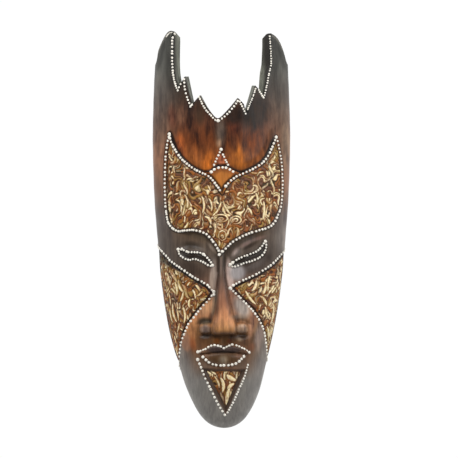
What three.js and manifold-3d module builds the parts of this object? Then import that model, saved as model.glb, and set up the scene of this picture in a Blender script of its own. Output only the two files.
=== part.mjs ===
// A long horned wall mask, carved from one piece of light wood and bowed like half a log.
// Millimetres. It lies on its back rim with its face up: X runs across the face, Y from the chin to the
// horns, and Z out of the face. The origin is on the surface under it, below the middle of its bounding box.
import * as THREE from "three";
import { mergeVertices } from "three/addons/utils/BufferGeometryUtils.js";
import Module from "manifold-3d";

const wasm = await Module();
wasm.setup();

// Driving dimensions
const chinEnd = -250;
const pastHorns = 256; // the blank before its top is cut to the skyline
const rimBand = 6; // height of the upright side above the back rim
const rimWidth = 12; // width of the flat rim that the mask lies on
const wall = 15; // thickness of the wood over the hollow back
const hollowRoof = 34; // height of the flat land along the roof of the hollow
const cutLean = 0.8; // how far the cuts at the top lean in over their depth, from leanFrom outwards
const leanFrom = 62;
const crestDepth = 1.6;
const cheekDepth = 2.6;
const chinPanelDepth = 3.4;
const triangleDepth = 1.4;
const socketDepth = 5.5;
const eyeSlitDepth = 2.4;
const nostrilDepth = 2;
const edgeDrop = 2.2; // how far the forehead sinks towards the edge of the crest
const edgeReach = 12;
const lipHeight = 4.4;
const lipReach = 31;
const scrollHeight = 1.6;
const scrollWidth = 5.4;

// Stations along Y: the half width of the outline, and the height of the bow at its crown
const halfWidthStations = [
  [-250, 0], [-245, 17.6], [-230, 31.5], [-200, 45.6], [-172, 53.6], [-154, 59.8], [-116, 68.6], [-56, 77.4],
  [-18, 79.8], [37, 84], [110, 86.3], [171, 85], [256, 81],
];
const crownStations = [
  [-250, 9], [-240, 23], [-220, 33], [-180, 42], [-110, 48.5], [0, 51], [120, 50], [190, 46], [256, 39],
];
// How far the middle of the face drifts to the right towards the chin, as it was cut by eye
const leanStations = [[-250, 4.8], [-155, 2.8], [-110, 1.8], [-30, 0], [256, 0]];

// Lines of the face, as Y over X counted from the leaning middle line
const browStations = [
  [-66, 6], [-62, 2.5], [-46, -1.5], [-36, -0.6], [-26, -2.8], [-18, -6.7], [-11.7, -13.7], [-6.6, -21.4],
  [-1, -31], [5.5, -24], [12.7, -17], [22, -11.2], [33.5, -5.4], [46, -1.5], [63, 4.9], [67, 10],
];
const upperLipStations = [
  [-31, -154.6], [-23, -151], [-13, -145.6], [-6, -146.6], [0, -149.6], [6, -146.6], [13, -144.9],
  [22, -148.6], [31, -154.8],
];
const lowerLipStations = [
  [-31, -156], [-26, -160.3], [-19, -166.5], [-10, -170.8], [0, -172], [10, -171], [19, -166.5], [26, -159.5],
  [31, -156],
];
const crestTopStations = [
  [-65.6, 121.2], [-59.2, 101.9], [-52.8, 91.7], [-45.1, 83.9], [-34.8, 76.2], [-23, 71.6], [-14, 72.6],
  [-6, 77.6], [2, 79], [9, 77.4], [16, 73.6], [25, 71], [36, 74.5], [46, 79.6], [54, 86], [60.4, 95.5],
  [69, 116.8],
];

// Stations down the nose: its half width and its height
const noseWidthStations = [
  [-134, 15.5], [-120, 16.8], [-110, 13.5], [-99, 10.8], [-76, 7], [-50, 4.4], [-30, 3.6],
];
const noseHeightStations = [
  [-134.5, -3], [-131.5, 11], [-127, 15.6], [-120, 16], [-100, 12.5], [-70, 8], [-40, 3], [-28, 0.2],
];
const wing = { away: 22.5, y: -122.5, radii: [10.5, 8, 9.5] };

// Small helpers
const clamp01 = (t) => Math.min(1, Math.max(0, t));
const smooth = (t) => clamp01(t) ** 2 * (3 - 2 * clamp01(t));
const spread = (from, to, count) => (
  Array.from({ length: count + 1 }, (_, i) => from + ((to - from) * i) / count)
);

// A smooth function through stations [at, value]
function profile(stations) {
  const slope = (i, j) => (stations[j][1] - stations[i][1]) / (stations[j][0] - stations[i][0]);
  const last = stations.length - 1;
  const tangent = (i) => slope(Math.max(0, i - 1), Math.min(last, i + 1));
  return (at) => {
    let i = 0;
    while (i < last - 1 && stations[i + 1][0] <= at) i++;
    const [a, va] = stations[i];
    const [b, vb] = stations[i + 1];
    const t = clamp01((at - a) / (b - a));
    const bend = (b - a) * t * (1 - t) * ((1 - t) * tangent(i) - t * tangent(i + 1));
    return va * (1 + 2 * t) * (1 - t) ** 2 + vb * t * t * (3 - 2 * t) + bend;
  };
}

// The half width is smooth against the root of the distance from the chin, which rounds the chin
const fromChin = (y) => Math.sqrt(Math.max(0, y - chinEnd));
const halfWidthByRoot = profile(halfWidthStations.map(([y, w]) => [fromChin(y), w]));
const halfWidth = (y) => halfWidthByRoot(fromChin(y));
const crown = profile(crownStations);
const lean = profile(leanStations);
const outlineShift = (y) => 0.7 * lean(y) * smooth((-120 - y) / 100);
const browLine = profile(browStations);
const upperLipLine = profile(upperLipStations);
const lowerLipLine = profile(lowerLipStations);
const partingLine = (x) => -155.4 + 1.4 * Math.cos(x / 10);
const crestTop = profile(crestTopStations);
const noseHalfWidth = profile(noseWidthStations);
const noseHeight = profile(noseHeightStations);

// A soft mound of height 1 over an ellipse turned by some degrees
function mound(x, y, { at, reach, turn = 0 }) {
  const a = THREE.MathUtils.degToRad(turn);
  const dx = x - at[0];
  const dy = y - at[1];
  const along = (dx * Math.cos(a) + dy * Math.sin(a)) / reach[0];
  const across = (dy * Math.cos(a) - dx * Math.sin(a)) / reach[1];
  return Math.max(0, 1 - along ** 2 - across ** 2) ** 1.5;
}

const muzzle = { at: [0, -158], reach: [52, 52] };
const eyelids = [
  { at: [-33, -35], reach: [30, 14], turn: -12 },
  { at: [34, -31], reach: [31, 14], turn: 27 },
];
const besideNose = [
  { at: [-17, -88], reach: [15, 34], turn: 8 },
  { at: [17, -88], reach: [15, 34], turn: -8 },
];

// How far the face lies above the plain bow under the brows: its sockets, lids and the hollows by the nose
function faceLevel(x0, y) {
  const x = x0 - lean(y);
  const below = browLine(x) - y;
  const sideFade = 1 - smooth((Math.abs(x) - 42) / 22);
  const socket = socketDepth * (1 - smooth((below - 10) / 38)) * sideFade;
  const lids = eyelids.reduce((sum, lid) => sum + 2.8 * mound(x, y, lid), 0);
  const hollows = besideNose.reduce((sum, hollow) => sum + 2.6 * mound(x, y, hollow), 0);
  return Math.min(0.3, 0.3 - socket + lids - hollows);
}

// The forehead sinks towards the edge of the crest
function foreheadLevel(x, y) {
  const across = 0.8 * (y - crestTop(x));
  return 0.25 - (edgeDrop + 0.25) * (1 - smooth(across / edgeReach));
}

// A point of the front, at a share of the half width from -1 to 1, lifted along the bow's own normal
function frontPoint(share, y, levelAt) {
  const w = halfWidth(y);
  const rise = Math.max(0.01, crown(y) - rimBand);
  const up = Math.sqrt(Math.max(0, 1 - share * share));
  const x = outlineShift(y) + w * share;
  const normal = new THREE.Vector2(share * rise, up * w);
  if (normal.lengthSq() < 1e-6) normal.set(0, 1);
  normal.normalize();
  const lift = (3 * mound(x - lean(y), y, muzzle) + levelAt(x, y)) * smooth((y - chinEnd) / 12);
  return new THREE.Vector3(x + normal.x * lift, y, rimBand + rise * up + normal.y * lift);
}

function pointOverFace(x, y, level) {
  const share = THREE.MathUtils.clamp((x - outlineShift(y)) / halfWidth(y), -0.98, 0.98);
  return frontPoint(share, y, () => level);
}

// Solids

// One closed solid from points and triangles, turned to face out
function solidOf(positions, index) {
  const raw = new THREE.BufferGeometry();
  raw.setAttribute("position", new THREE.Float32BufferAttribute(positions, 3));
  raw.setIndex(index);
  const merged = mergeVertices(raw, 1e-3);
  const kept = [];
  for (let i = 0; i < merged.index.count; i += 3) {
    const [a, b, c] = [0, 1, 2].map((k) => merged.index.getX(i + k));
    if (a !== b && b !== c && c !== a) kept.push([a, b, c]);
  }
  const made = (faces) => new wasm.Manifold(new wasm.Mesh({
    numProp: 3,
    vertProperties: new Float32Array(merged.attributes.position.array),
    triVerts: new Uint32Array(faces.flat()),
  }));
  const solid = made(kept);
  return solid.volume() > 0 ? solid : made(kept.map((face) => face.reverse()));
}

function solidOfGeometry(geometry) {
  return solidOf([...geometry.attributes.position.array], [...geometry.index.array]);
}

// A solid through loops of points that have the same count; an end loop may shrink to a line or a point
function loft(loops) {
  const count = loops[0].length;
  const index = [];
  loops.slice(1).forEach((_, r) => {
    for (let i = 0; i < count; i++) {
      const a = r * count + i;
      const b = r * count + ((i + 1) % count);
      index.push(a, a + count, b, b, a + count, b + count);
    }
  });
  const cap = (loop, offset, backwards) => {
    const area = new THREE.Vector3();
    const corner = (i) => loop[i].clone().sub(loop[0]);
    for (let i = 1; i + 1 < count; i++) area.add(corner(i).cross(corner(i + 1)));
    if (area.length() < 1e-3) return;
    for (let i = 1; i + 1 < count; i++) {
      index.push(offset, offset + (backwards ? i + 1 : i), offset + (backwards ? i : i + 1));
    }
  };
  cap(loops[0], 0, false);
  cap(loops.at(-1), (loops.length - 1) * count, true);
  return solidOf(loops.flat().flatMap((p) => [p.x, p.y, p.z]), index);
}

// The angles of the columns around the bow are closest over the middle of the face
const columns = spread(-1, 1, 22).map((t) => Math.sin(0.5 * Math.PI * (0.55 * t + 0.45 * t ** 3)));
const fineColumns = spread(-1, 1, 28).map((t) => Math.sin(0.5 * Math.PI * (0.45 * t + 0.55 * t ** 3)));
const rows = [...[0, 0.8, 2.5, 6, 12].map((d) => chinEnd + d), ...spread(-230, pastHorns, 30)];
const faceRows = spread(-130, 16, 19);
const foreheadRows = spread(44, 150, 15);

// The bowed blank under a front that is lifted or sunk by a level, with a flat underside
function blank(levelAt, alongY = rows, acrossX = columns) {
  return loft(alongY.map((y) => {
    const front = acrossX.map((share) => frontPoint(share, y, levelAt));
    return [...front, new THREE.Vector3(front.at(-1).x, y, 0), new THREE.Vector3(front[0].x, y, 0)];
  }));
}

// The hollow back: a gouged trough with a flat land along its roof, closed at the chin and open at the top
function hollow() {
  const from = -212;
  const stations = [0, 2, 7, 16, 30, 46, 62, 100, 150, 210, 280, 350, 420, 480];
  return loft(stations.map((d) => {
    const y = from + d;
    const opening = Math.sqrt(1 - (1 - clamp01(d / 62)) ** 2);
    const w = (halfWidth(y) - rimWidth) * opening;
    const h = (crown(y) - wall) * opening;
    const arch = spread(Math.PI, 0, 12).map((a) => new THREE.Vector3(
      outlineShift(y) + w * Math.cos(a), y, Math.min(hollowRoof, 1.06 * h * Math.sin(a))));
    const mouth = [w, -w].map((x) => new THREE.Vector3(outlineShift(y) + x, y, -5));
    return [...arch, ...mouth];
  }));
}

function nose() {
  const stations = [-28, -38, -50, -63, -76, -88, -99, -106, -112, -119, -124, -128, -130.5, -132.5, -134.5];
  const section = [[-1.2, -1], [-0.94, 0.45], [-0.6, 0.88], [0, 1], [0.6, 0.88], [0.94, 0.45], [1.2, -1]];
  return loft(stations.map((y) => section.map(([across, up]) => {
    const level = up < 0 ? -8 : up * noseHeight(y);
    return pointOverFace(lean(y) + across * noseHalfWidth(y), y, level);
  })));
}

function noseWing(side) {
  const ball = new THREE.SphereGeometry(1, 12, 8).scale(...wing.radii);
  const at = pointOverFace(lean(wing.y) + side * wing.away, wing.y, 0);
  return solidOfGeometry(ball.translate(at.x, at.y, at.z));
}

// One lip between two lines, round across and running out at the corners of the mouth
function lip(lineA, lineB, fullAt) {
  return loft(spread(-lipReach, lipReach, 12).map((x) => {
    const corner = Math.sqrt(1 - (x / lipReach) ** 4);
    const middle = 0.5 * (lineA(x) + lineB(x));
    const half = 0.5 * (lineB(x) - lineA(x)) * clamp01(7 - 7 * Math.abs(x / lipReach));
    return spread(0, 1, 5).map((t, i, all) => {
      const y = middle + half * (2 * t - 1);
      const bulge = t < fullAt ? t / fullAt : (1 - t) / (1 - fullAt);
      const buried = i === 0 || i === all.length - 1;
      const level = buried ? -1.6 * corner : lipHeight * corner * Math.sqrt(1 - (1 - bulge) ** 2);
      return pointOverFace(x + lean(y), y, level);
    });
  }));
}

// Outlines, as seen from the front

// A smooth run through a few points
function run(points, steps = 1) {
  const corners = points.map(([x, y]) => new THREE.Vector3(x, y, 0));
  const curve = new THREE.CatmullRomCurve3(corners, false, "centripetal");
  return curve.getPoints(steps * (points.length - 1)).map((p) => [p.x, p.y]);
}

// Runs that meet end to end, as one closed outline
const outlineOf = (...runs) => runs.flatMap((points) => points.slice(0, -1));

const hornLeftOuter = run([
  [-90, 196], [-82.6, 210], [-79.8, 225.5], [-74.5, 238.4], [-69.5, 246.8], [-65, 250], [-61.6, 249],
], 2);
const hornLeftInner = run([
  [-61.6, 249], [-61.1, 238], [-61.3, 214], [-60.7, 198], [-59.5, 187], [-55.6, 177.3],
]);
const hornRightInner = run([
  [53.4, 169], [56.6, 184], [60.2, 196], [61.1, 212], [61.1, 230], [59.6, 246.2],
]);
const hornRightOuter = run([
  [59.6, 246.2], [62.4, 246.6], [68.9, 241.6], [73.8, 234.4], [78.2, 223.4], [82.2, 210], [90, 196],
], 2);
const leftTeeth = [[-55.6, 177.3], [-46.4, 191.8], [-37.4, 157.3], [-27.4, 168.6]];
const middleValley = run([[-27.4, 168.6], [-18.5, 154], [-11.2, 144.5], [-4.6, 138.5]]);
const middleRise = run([[-4.6, 138.5], [4.8, 145.9], [13.4, 155.8], [20.8, 166.2]]);
const rightTeeth = [[20.8, 166.2], [30.9, 147.6], [43.2, 181], [53.4, 169]];
const aboveTheMask = [[90, 196], [120, 196], [120, 290], [-120, 290], [-120, 196], [-90, 196]];
const skyline = outlineOf(
  hornLeftOuter, hornLeftInner, leftTeeth, middleValley, middleRise, rightTeeth, hornRightInner,
  hornRightOuter, aboveTheMask,
);

const crest = outlineOf(
  run([
    [-65.6, 121.2], [-63.8, 112], [-59.2, 101.9], [-52.8, 91.7], [-45.1, 83.9], [-34.8, 76.2], [-23.2, 70.4],
    [-14.2, 65.3], [-7.8, 57.6], [1.1, 45.4],
  ]),
  run([
    [1.1, 45.4], [5, 53.8], [11.5, 60.9], [20.5, 67.3], [32, 72.5], [44.9, 78.9], [53.9, 85.9], [60.4, 95.5],
    [65.5, 107.1], [69, 116.8],
  ]),
  run([
    [69, 116.8], [74.5, 93], [76.9, 62], [75.7, 35], [72, 20], [63, 4.9], [46.2, -1.5], [33.4, -5.4],
    [21.8, -11.2], [12.7, -17], [5.5, -24], [-1, -31],
  ], 2),
  run([
    [-1, -31], [-6.6, -21.4], [-11.7, -13.7], [-18.1, -6.7], [-25.8, -2.8], [-36, -0.6], [-46.4, -1.5],
    [-55.3, -2.1], [-62.5, 2.3], [-68, 12], [-71, 45], [-71, 74], [-69.4, 100], [-65.6, 121.2],
  ], 2),
);
const leftCheek = outlineOf(
  run([
    [-82, -19.5], [-70.8, -31.8], [-62.5, -40.7], [-51.5, -48.5], [-38.7, -57.5], [-25.8, -65.1],
    [-16.8, -70.9], [-9.7, -79.5],
  ]),
  run([
    [-9.7, -79.5], [-16.8, -89.6], [-24.6, -97.5], [-33.5, -108.9], [-40.6, -117.9], [-45.1, -127.5],
    [-48.9, -137.2], [-52.2, -153.8], [-52.6, -176],
  ]),
  [[-52.6, -176], [-100, -176], [-100, -19.5], [-82, -19.5]],
);
const rightCheek = outlineOf(
  [[82, -24], [100, -24], [100, -165], [57.3, -165]],
  run([
    [57.3, -165], [56.4, -150.1], [53.9, -130.8], [49.4, -117.9], [44.2, -108.9], [38.4, -101.2], [27, -89.6],
    [16.6, -79.3], [11.5, -74.2],
  ]),
  run([
    [11.5, -74.2], [14.7, -70.3], [23.1, -65.8], [39.7, -58.1], [55.2, -49.8], [66.2, -41.3], [77.1, -29.2],
    [82, -24],
  ]),
);
const chinDots = [[-26, -173.5], [31, -174.5], [5.6, -233]];
const chinRelief = [[-15.5, -178.5], [23.5, -180.5], [5.2, -225]];
const foreheadTriangle = [[-9.7, 83], [8.3, 83], [-0.4, 101.3]];
const leftEye = outlineOf(
  run([
    [-54.8, -25.2], [-48.5, -26], [-43.5, -29], [-37.2, -30], [-30.9, -28.9], [-23.3, -31], [-17, -37.2],
    [-12, -45.4],
  ]),
  run([[-12, -45.4], [-23.3, -41], [-32.1, -37.4], [-42.2, -38.4], [-50, -34], [-54.8, -25.2]]),
);
const rightEye = outlineOf(
  run([[10.1, -45.5], [25.8, -41.6], [41, -36.6], [51, -30], [55.4, -22.7], [56.7, -13.9]]),
  run([[56.7, -13.9], [47.2, -25.2], [38.4, -30.9], [25.8, -35.9], [14.5, -40.3], [10.1, -45.5]]),
);
const underBrows = [
  ...spread(-64, 64, 32).map((x) => [x, browLine(x) - 2.4]), [64, -70], [44, -128], [-42, -128], [-64, -70],
];
const aboveCrest = [
  ...spread(-62, 65, 32).map((x) => [x, crestTop(x) + 1.8]),
  ...spread(65, -62, 16).map((x) => [x, crestTop(x) + 1.25 * edgeReach]),
];
const nostril = (side) => {
  const x = lean(-132) + side * wing.away;
  return [[x - 7, -132], [x, -134.6], [x + 7, -132], [x, -130.6]];
};

// Cuts

// Straight up through the whole mask over an outline
function prism(outline) {
  const shape = new THREE.Shape(outline.map(([x, y]) => new THREE.Vector2(x, y)));
  const geometry = new THREE.ExtrudeGeometry(shape, { depth: 110, bevelEnabled: false });
  geometry.translate(0, 0, -10);
  const corners = geometry.attributes.position;
  return solidOf([...corners.array], [...Array(corners.count).keys()]);
}

// A cutter that slopes in from an outline on the face to a smaller one at a depth
function chiselled(outer, inner, depth) {
  const along = (outline) => outline.flatMap((p, i) => spread(0, 1, 5).slice(0, -1).map((t) => {
    const q = outline[(i + 1) % outline.length];
    return [p[0] + (q[0] - p[0]) * t, p[1] + (q[1] - p[1]) * t];
  }));
  const mouth = along(outer);
  const foot = along(inner).map(([x, y], i) => [x + 0.25 * (x - mouth[i][0]), y + 0.25 * (y - mouth[i][1])]);
  return loft([
    mouth.map(([x, y]) => new THREE.Vector3(x, y, 100)),
    mouth.map(([x, y]) => pointOverFace(x, y, 0)),
    foot.map(([x, y]) => pointOverFace(x, y, -1.25 * depth)),
  ]);
}

// The waste above the skyline. The cuts are about square to the bowed face, so they lean towards the middle
function skylineWaste() {
  const level = (z) => skyline.map(([x, y]) => {
    const w = halfWidth(Math.min(y, pastHorns));
    const share = THREE.MathUtils.clamp((x - outlineShift(y)) / w, -1, 1);
    const face = rimBand + (crown(Math.min(y, pastHorns)) - rimBand) * Math.sqrt(1 - share * share);
    return [x - Math.sign(x) * cutLean * Math.min(1, (x / leanFrom) ** 2) * (face - z), y, z];
  });
  const levels = [-6, 16, 26, 36, 46, 90];
  const count = skyline.length;
  const lid = (levels.length - 1) * count;
  const faces = THREE.ShapeUtils.triangulateShape(skyline.map(([x, y]) => new THREE.Vector2(x, y)), []);
  const index = faces.flatMap(([a, b, c]) => [c, b, a, a + lid, b + lid, c + lid]);
  for (let from = 0; from < lid; from += count) {
    skyline.forEach((_, k) => {
      const i = from + k;
      const j = from + ((k + 1) % count);
      index.push(i, j, j + count, i, j + count, i + count);
    });
  }
  return solidOf(levels.flatMap(level).flat(), index);
}

const sink = (solid, outline, depth) => solid.subtract(prism(outline).subtract(blank(() => -depth)));

function carve(solid, outline, levelAt, alongY) {
  return solid.subtract(prism(outline).subtract(blank(levelAt, alongY, fineColumns)));
}

// Scrollwork: curled ridges that fill a panel, each a tapered three-sided sweep along a closing arc

function inside([x, y], outline) {
  let within = false;
  outline.forEach(([ax, ay], i) => {
    const [bx, by] = outline.at(i - 1);
    if (ay > y !== by > y && x < ax + ((y - ay) * (bx - ax)) / (by - ay)) within = !within;
  });
  return within;
}

function scrollRidge(centre, radius, start, sweep, floor) {
  return loft(spread(0, 1, 5).map((t) => {
    const angle = start + sweep * t;
    const swell = 0.25 + 0.75 * Math.sin(Math.PI * t ** 0.7);
    const at = (offset, level) => {
      const r = radius * (1 - 0.62 * t) + offset * swell;
      return pointOverFace(centre[0] + r * Math.cos(angle), centre[1] + r * Math.sin(angle), level - floor);
    };
    return [at(0.5 * scrollWidth, -0.5), at(0, scrollHeight * swell), at(-0.5 * scrollWidth, -0.5)];
  }));
}

function scrolls(outline, floor, pitch) {
  const xs = outline.map((p) => p[0]);
  const ys = outline.map((p) => p[1]);
  const ridges = [];
  let turn = 0;
  for (let row = 0, y = Math.min(...ys); y < Math.max(...ys); y += 0.87 * pitch, row++) {
    for (let x = Math.min(...xs) + (row % 2) * 0.5 * pitch; x < Math.max(...xs); x += pitch) {
      turn += 2.4;
      const radius = pitch * (0.42 + 0.05 * Math.sin(3.1 * turn));
      const middle = [x + 0.12 * pitch * Math.sin(5 * turn), y + 0.12 * pitch * Math.cos(7 * turn)];
      const around = spread(0, 2 * Math.PI, 8).map((a) => [
        middle[0] + radius * Math.cos(a), middle[1] + radius * Math.sin(a),
      ]);
      const onTheFace = Math.abs(middle[0]) < 0.9 * halfWidth(middle[1]);
      if (!onTheFace || !around.every((point) => inside(point, outline))) continue;
      ridges.push(scrollRidge(middle, radius, turn, row % 2 ? 4.3 : -4.3, floor));
    }
  }
  return ridges;
}

// The mask: the blank, its face, its sunk panels and their scrolls, and last the skyline
const eyeLevel = (x, y) => faceLevel(x, y) - eyeSlitDepth;
let mask = blank(() => 0).subtract(hollow());
mask = carve(mask, underBrows, faceLevel, faceRows);
mask = carve(mask, aboveCrest, foreheadLevel, foreheadRows);
mask = mask.add(nose()).add(noseWing(-1)).add(noseWing(1));
mask = mask.add(lip(upperLipLine, partingLine, 0.45)).add(lip(partingLine, lowerLipLine, 0.5));
mask = sink(mask, crest, crestDepth);
mask = sink(mask, leftCheek, cheekDepth);
mask = sink(mask, rightCheek, cheekDepth);
mask = sink(mask, foreheadTriangle, triangleDepth);
mask = mask.subtract(chiselled(chinDots, chinRelief, chinPanelDepth).subtract(blank(() => -chinPanelDepth)));
for (const eye of [leftEye, rightEye]) mask = carve(mask, eye, eyeLevel, faceRows);
for (const side of [-1, 1]) mask = sink(mask, nostril(side), nostrilDepth);
for (const ridge of [
  ...scrolls(crest, crestDepth, 21),
  ...scrolls(leftCheek, cheekDepth, 18.5),
  ...scrolls(rightCheek, cheekDepth, 18.5),
  ...scrolls(chinRelief, chinPanelDepth, 14),
]) mask = mask.add(ridge);
mask = mask.subtract(skylineWaste());

// The scene graph
function meshOf(solid, name, material) {
  const { vertProperties, triVerts } = solid.getMesh();
  const geometry = new THREE.BufferGeometry();
  geometry.setAttribute("position", new THREE.BufferAttribute(new Float32Array(vertProperties), 3));
  geometry.setIndex(new THREE.BufferAttribute(new Uint32Array(triVerts), 1));
  geometry.computeVertexNormals();
  const mesh = new THREE.Mesh(geometry, material);
  mesh.name = name;
  return mesh;
}

const stainedWood = new THREE.MeshStandardMaterial({ color: 0x4a3226, roughness: 0.45, metalness: 0 });

const group = new THREE.Group();
group.add(meshOf(mask, "mask", stainedWood));

export default group;
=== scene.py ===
import math

import bmesh
import bpy
import numpy as np
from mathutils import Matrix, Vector
from mathutils.bvhtree import BVHTree


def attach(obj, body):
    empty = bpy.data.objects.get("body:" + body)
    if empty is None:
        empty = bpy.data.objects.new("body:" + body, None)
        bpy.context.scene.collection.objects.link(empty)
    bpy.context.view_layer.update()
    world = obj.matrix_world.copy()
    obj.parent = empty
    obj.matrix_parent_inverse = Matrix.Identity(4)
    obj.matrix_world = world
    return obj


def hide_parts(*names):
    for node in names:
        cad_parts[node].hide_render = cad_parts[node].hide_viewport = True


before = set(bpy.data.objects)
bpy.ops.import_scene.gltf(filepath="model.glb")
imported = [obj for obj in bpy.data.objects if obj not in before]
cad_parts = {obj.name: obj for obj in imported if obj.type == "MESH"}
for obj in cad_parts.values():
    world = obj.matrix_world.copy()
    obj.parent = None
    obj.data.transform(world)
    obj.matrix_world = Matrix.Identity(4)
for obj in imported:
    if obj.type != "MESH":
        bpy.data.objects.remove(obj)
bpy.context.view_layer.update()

MM = 0.001

# Sizes that the carving shares with the solid
CHIN_END = -250
PAST_HORNS = 256
RIM_BAND = 6
RIM_WIDTH = 12
WALL = 15
HOLLOW_ROOF = 34
HOLLOW_FROM = -212
HOLLOW_RUN_OUT = 62
CUT_LEAN = 0.8
LEAN_FROM = 62
CREST_DEPTH = 1.6
CHEEK_DEPTH = 2.6
CHIN_DEPTH = 3.4
TRIANGLE_DEPTH = 1.4
SOCKET_DEPTH = 5.5
LID_HEIGHT = 2.8
CHEEK_HOLLOW_DEPTH = 2.6
EYE_SLIT_DEPTH = 1.9
EDGE_DROP = 2.2
EDGE_REACH = 12
LIP_HEIGHT = 4.4
LIP_REACH = 31
WING_AWAY = 21.5
WING_Y = -124
WING_RADII = (8.6, 7.6, 7.4)
WING_SQUARENESS = 2.6
NOSE_SPAN = (-134.5, -27)
MUZZLE_SWELL = 3
MUZZLE = (0, -158), (52, 52)
LIDS = [((-33, -35), (30, 14), -12), ((34, -31), (31, 14), 27)]
CHEEK_HOLLOWS = [((-17, -88), (15, 34), 8), ((17, -88), (15, 34), -8)]
HORN_TIPS = [(-61.6, 249), (59.6, 246.2)]

# Sizes of the fine surface
COLUMNS = 168
BAND_DROPS = (1.5, 3, 4.5, 6)
ARCH_STEPS = 24
UNDER_RELIEF = 0.5  # how far the wood lies under the carved panels
RELIEF_HEIGHT = 1.8
EDGE_ROUNDING = 1.5
PATCH_PITCH = 0.5
FIRST_ROWS = (0, 0.2, 0.6, 1.3, 2.2, 3.4, 4.8, 6.4)  # from the end of the chin
ROW_PITCH = 1.35
FINE_ROW_PITCH = 1.0  # over the eyes, the mouth and the small triangle
FINEST_ROW_PITCH = 0.75  # over the wings of the nose
CUT_LEVELS = [-6, *range(8, 56, 2), 90]
SHARP_ANGLE = 48
NEAR = 16  # distances to outlines matter only this near
FARTHEST = 30
OUT_OF_REACH = 99.0


# Small helpers

def smooth(t):
    t = np.clip(t, 0, 1)
    return t * t * (3 - 2 * t)


def ramp(value, start, length):
    """Runs smoothly from 0 to 1 over a length, which is below zero where it runs downward."""
    return smooth((value - start) / length)


def bell(value, middle, reach):
    return np.exp(-((value - middle) / reach) ** 2)


def mix(a, b, t):
    return a + (b - a) * t


def softer_max(a, b, blend):
    return 0.5 * (a + b + np.sqrt((a - b) ** 2 + blend ** 2)) - 0.5 * blend * np.exp(-abs(a - b) / blend)


def profile(stations):
    """A smooth function through stations (at, value)."""
    at, value = np.array(stations, float).T
    last = len(at) - 1
    before = np.maximum(np.arange(last + 1) - 1, 0)
    after = np.minimum(np.arange(last + 1) + 1, last)
    tangent = (value[after] - value[before]) / (at[after] - at[before])

    def along(q):
        i = np.clip(np.searchsorted(at, q, side="right") - 1, 0, last - 1)
        step = at[i + 1] - at[i]
        t = np.clip((q - at[i]) / step, 0, 1)
        bend = step * t * (1 - t) * ((1 - t) * tangent[i] - t * tangent[i + 1])
        return value[i] * (1 + 2 * t) * (1 - t) ** 2 + value[i + 1] * t * t * (3 - 2 * t) + bend

    return along


def in_oval(x, y, at, reach, turn):
    """Shares of the two reaches of an oval that is turned by some degrees."""
    a = math.radians(turn)
    dx, dy = x - at[0], y - at[1]
    return (dx * math.cos(a) + dy * math.sin(a)) / reach[0], (dy * math.cos(a) - dx * math.sin(a)) / reach[1]


def mound(x, y, at, reach, turn=0):
    """A soft mound of height 1 over an oval."""
    along, across = in_oval(x, y, at, reach, turn)
    return np.maximum(0, 1 - along ** 2 - across ** 2) ** 1.5


def between(table, row, column):
    """Values of a table between its cells."""
    row, column = (np.clip(at, 0, count - 1.001) for at, count in zip((row, column), table.shape))
    i, j = row.astype(int), column.astype(int)
    u, v = row - i, column - j
    return ((table[i, j] * (1 - v) + table[i, j + 1] * v) * (1 - u)
            + (table[i + 1, j] * (1 - v) + table[i + 1, j + 1] * v) * u)


# Widths and heights along the mask by y, and lines across the face by x

half_width_by_root = profile([(math.sqrt(y - CHIN_END), w) for y, w in [
    (-250, 0), (-245, 17.6), (-230, 31.5), (-200, 45.6), (-172, 53.6), (-154, 59.8), (-116, 68.6),
    (-56, 77.4), (-18, 79.8), (37, 84), (110, 86.3), (171, 85), (256, 81),
]])
crown = profile([
    (-250, 9), (-240, 23), (-220, 33), (-180, 42), (-110, 48.5), (0, 51), (120, 50), (190, 46), (256, 39),
])
lean = profile([(-250, 4.8), (-155, 2.9), (-115, 2.9), (-95, 2.2), (-75, 1), (-30, 0), (256, 0)])
nose_half_width = profile([
    (-134, 15.5), (-120, 16.8), (-110, 13.5), (-99, 10.8), (-76, 7), (-50, 4.4), (-30, 3.6),
])
nose_height = profile([
    (-134.5, -3), (-131.5, 11), (-127, 15.6), (-120, 16), (-100, 12.5), (-70, 8), (-40, 3), (-28, 0.2),
])
brow_line = profile([
    (-66, 6), (-62, 2.5), (-46, -1.5), (-36, -0.6), (-26, -2.8), (-18, -6.7), (-11.7, -13.7),
    (-6.6, -21.4), (-1, -31), (5.5, -24), (12.7, -17), (22, -11.2), (33.5, -5.4), (46, -1.5), (63, 4.9),
    (67, 10),
])
upper_lip = profile([
    (-31, -154.6), (-23, -151), (-13, -145.6), (-6, -146.6), (0, -149.6), (6, -146.6), (13, -144.9),
    (22, -148.6), (31, -154.8),
])
lower_lip = profile([
    (-31, -156), (-26, -160.3), (-19, -166.5), (-10, -170.8), (0, -172), (10, -171), (19, -166.5),
    (26, -159.5), (31, -156),
])
crest_top = profile([
    (-65.6, 121.2), (-59.2, 101.9), (-52.8, 91.7), (-45.1, 83.9), (-34.8, 76.2), (-23, 71.6), (-14, 72.6),
    (-6, 77.6), (2, 79), (9, 77.4), (16, 73.6), (25, 71), (36, 74.5), (46, 79.6), (54, 86), (60.4, 95.5),
    (69, 116.8),
])


def half_width(y):
    return half_width_by_root(np.sqrt(np.maximum(0, y - CHIN_END)))


def rise(y):
    return np.maximum(0.01, crown(y) - RIM_BAND)


def shift(y):
    return 0.7 * lean(y) * ramp(y, -120, -100)


def parting(x):
    return -155.4 + 1.4 * np.cos(x / 10)


# The bowed surface, unrolled: s runs around the bow from the crown and goes on down the side band

ANGLES = np.linspace(0, 0.5 * math.pi, 241)


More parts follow.
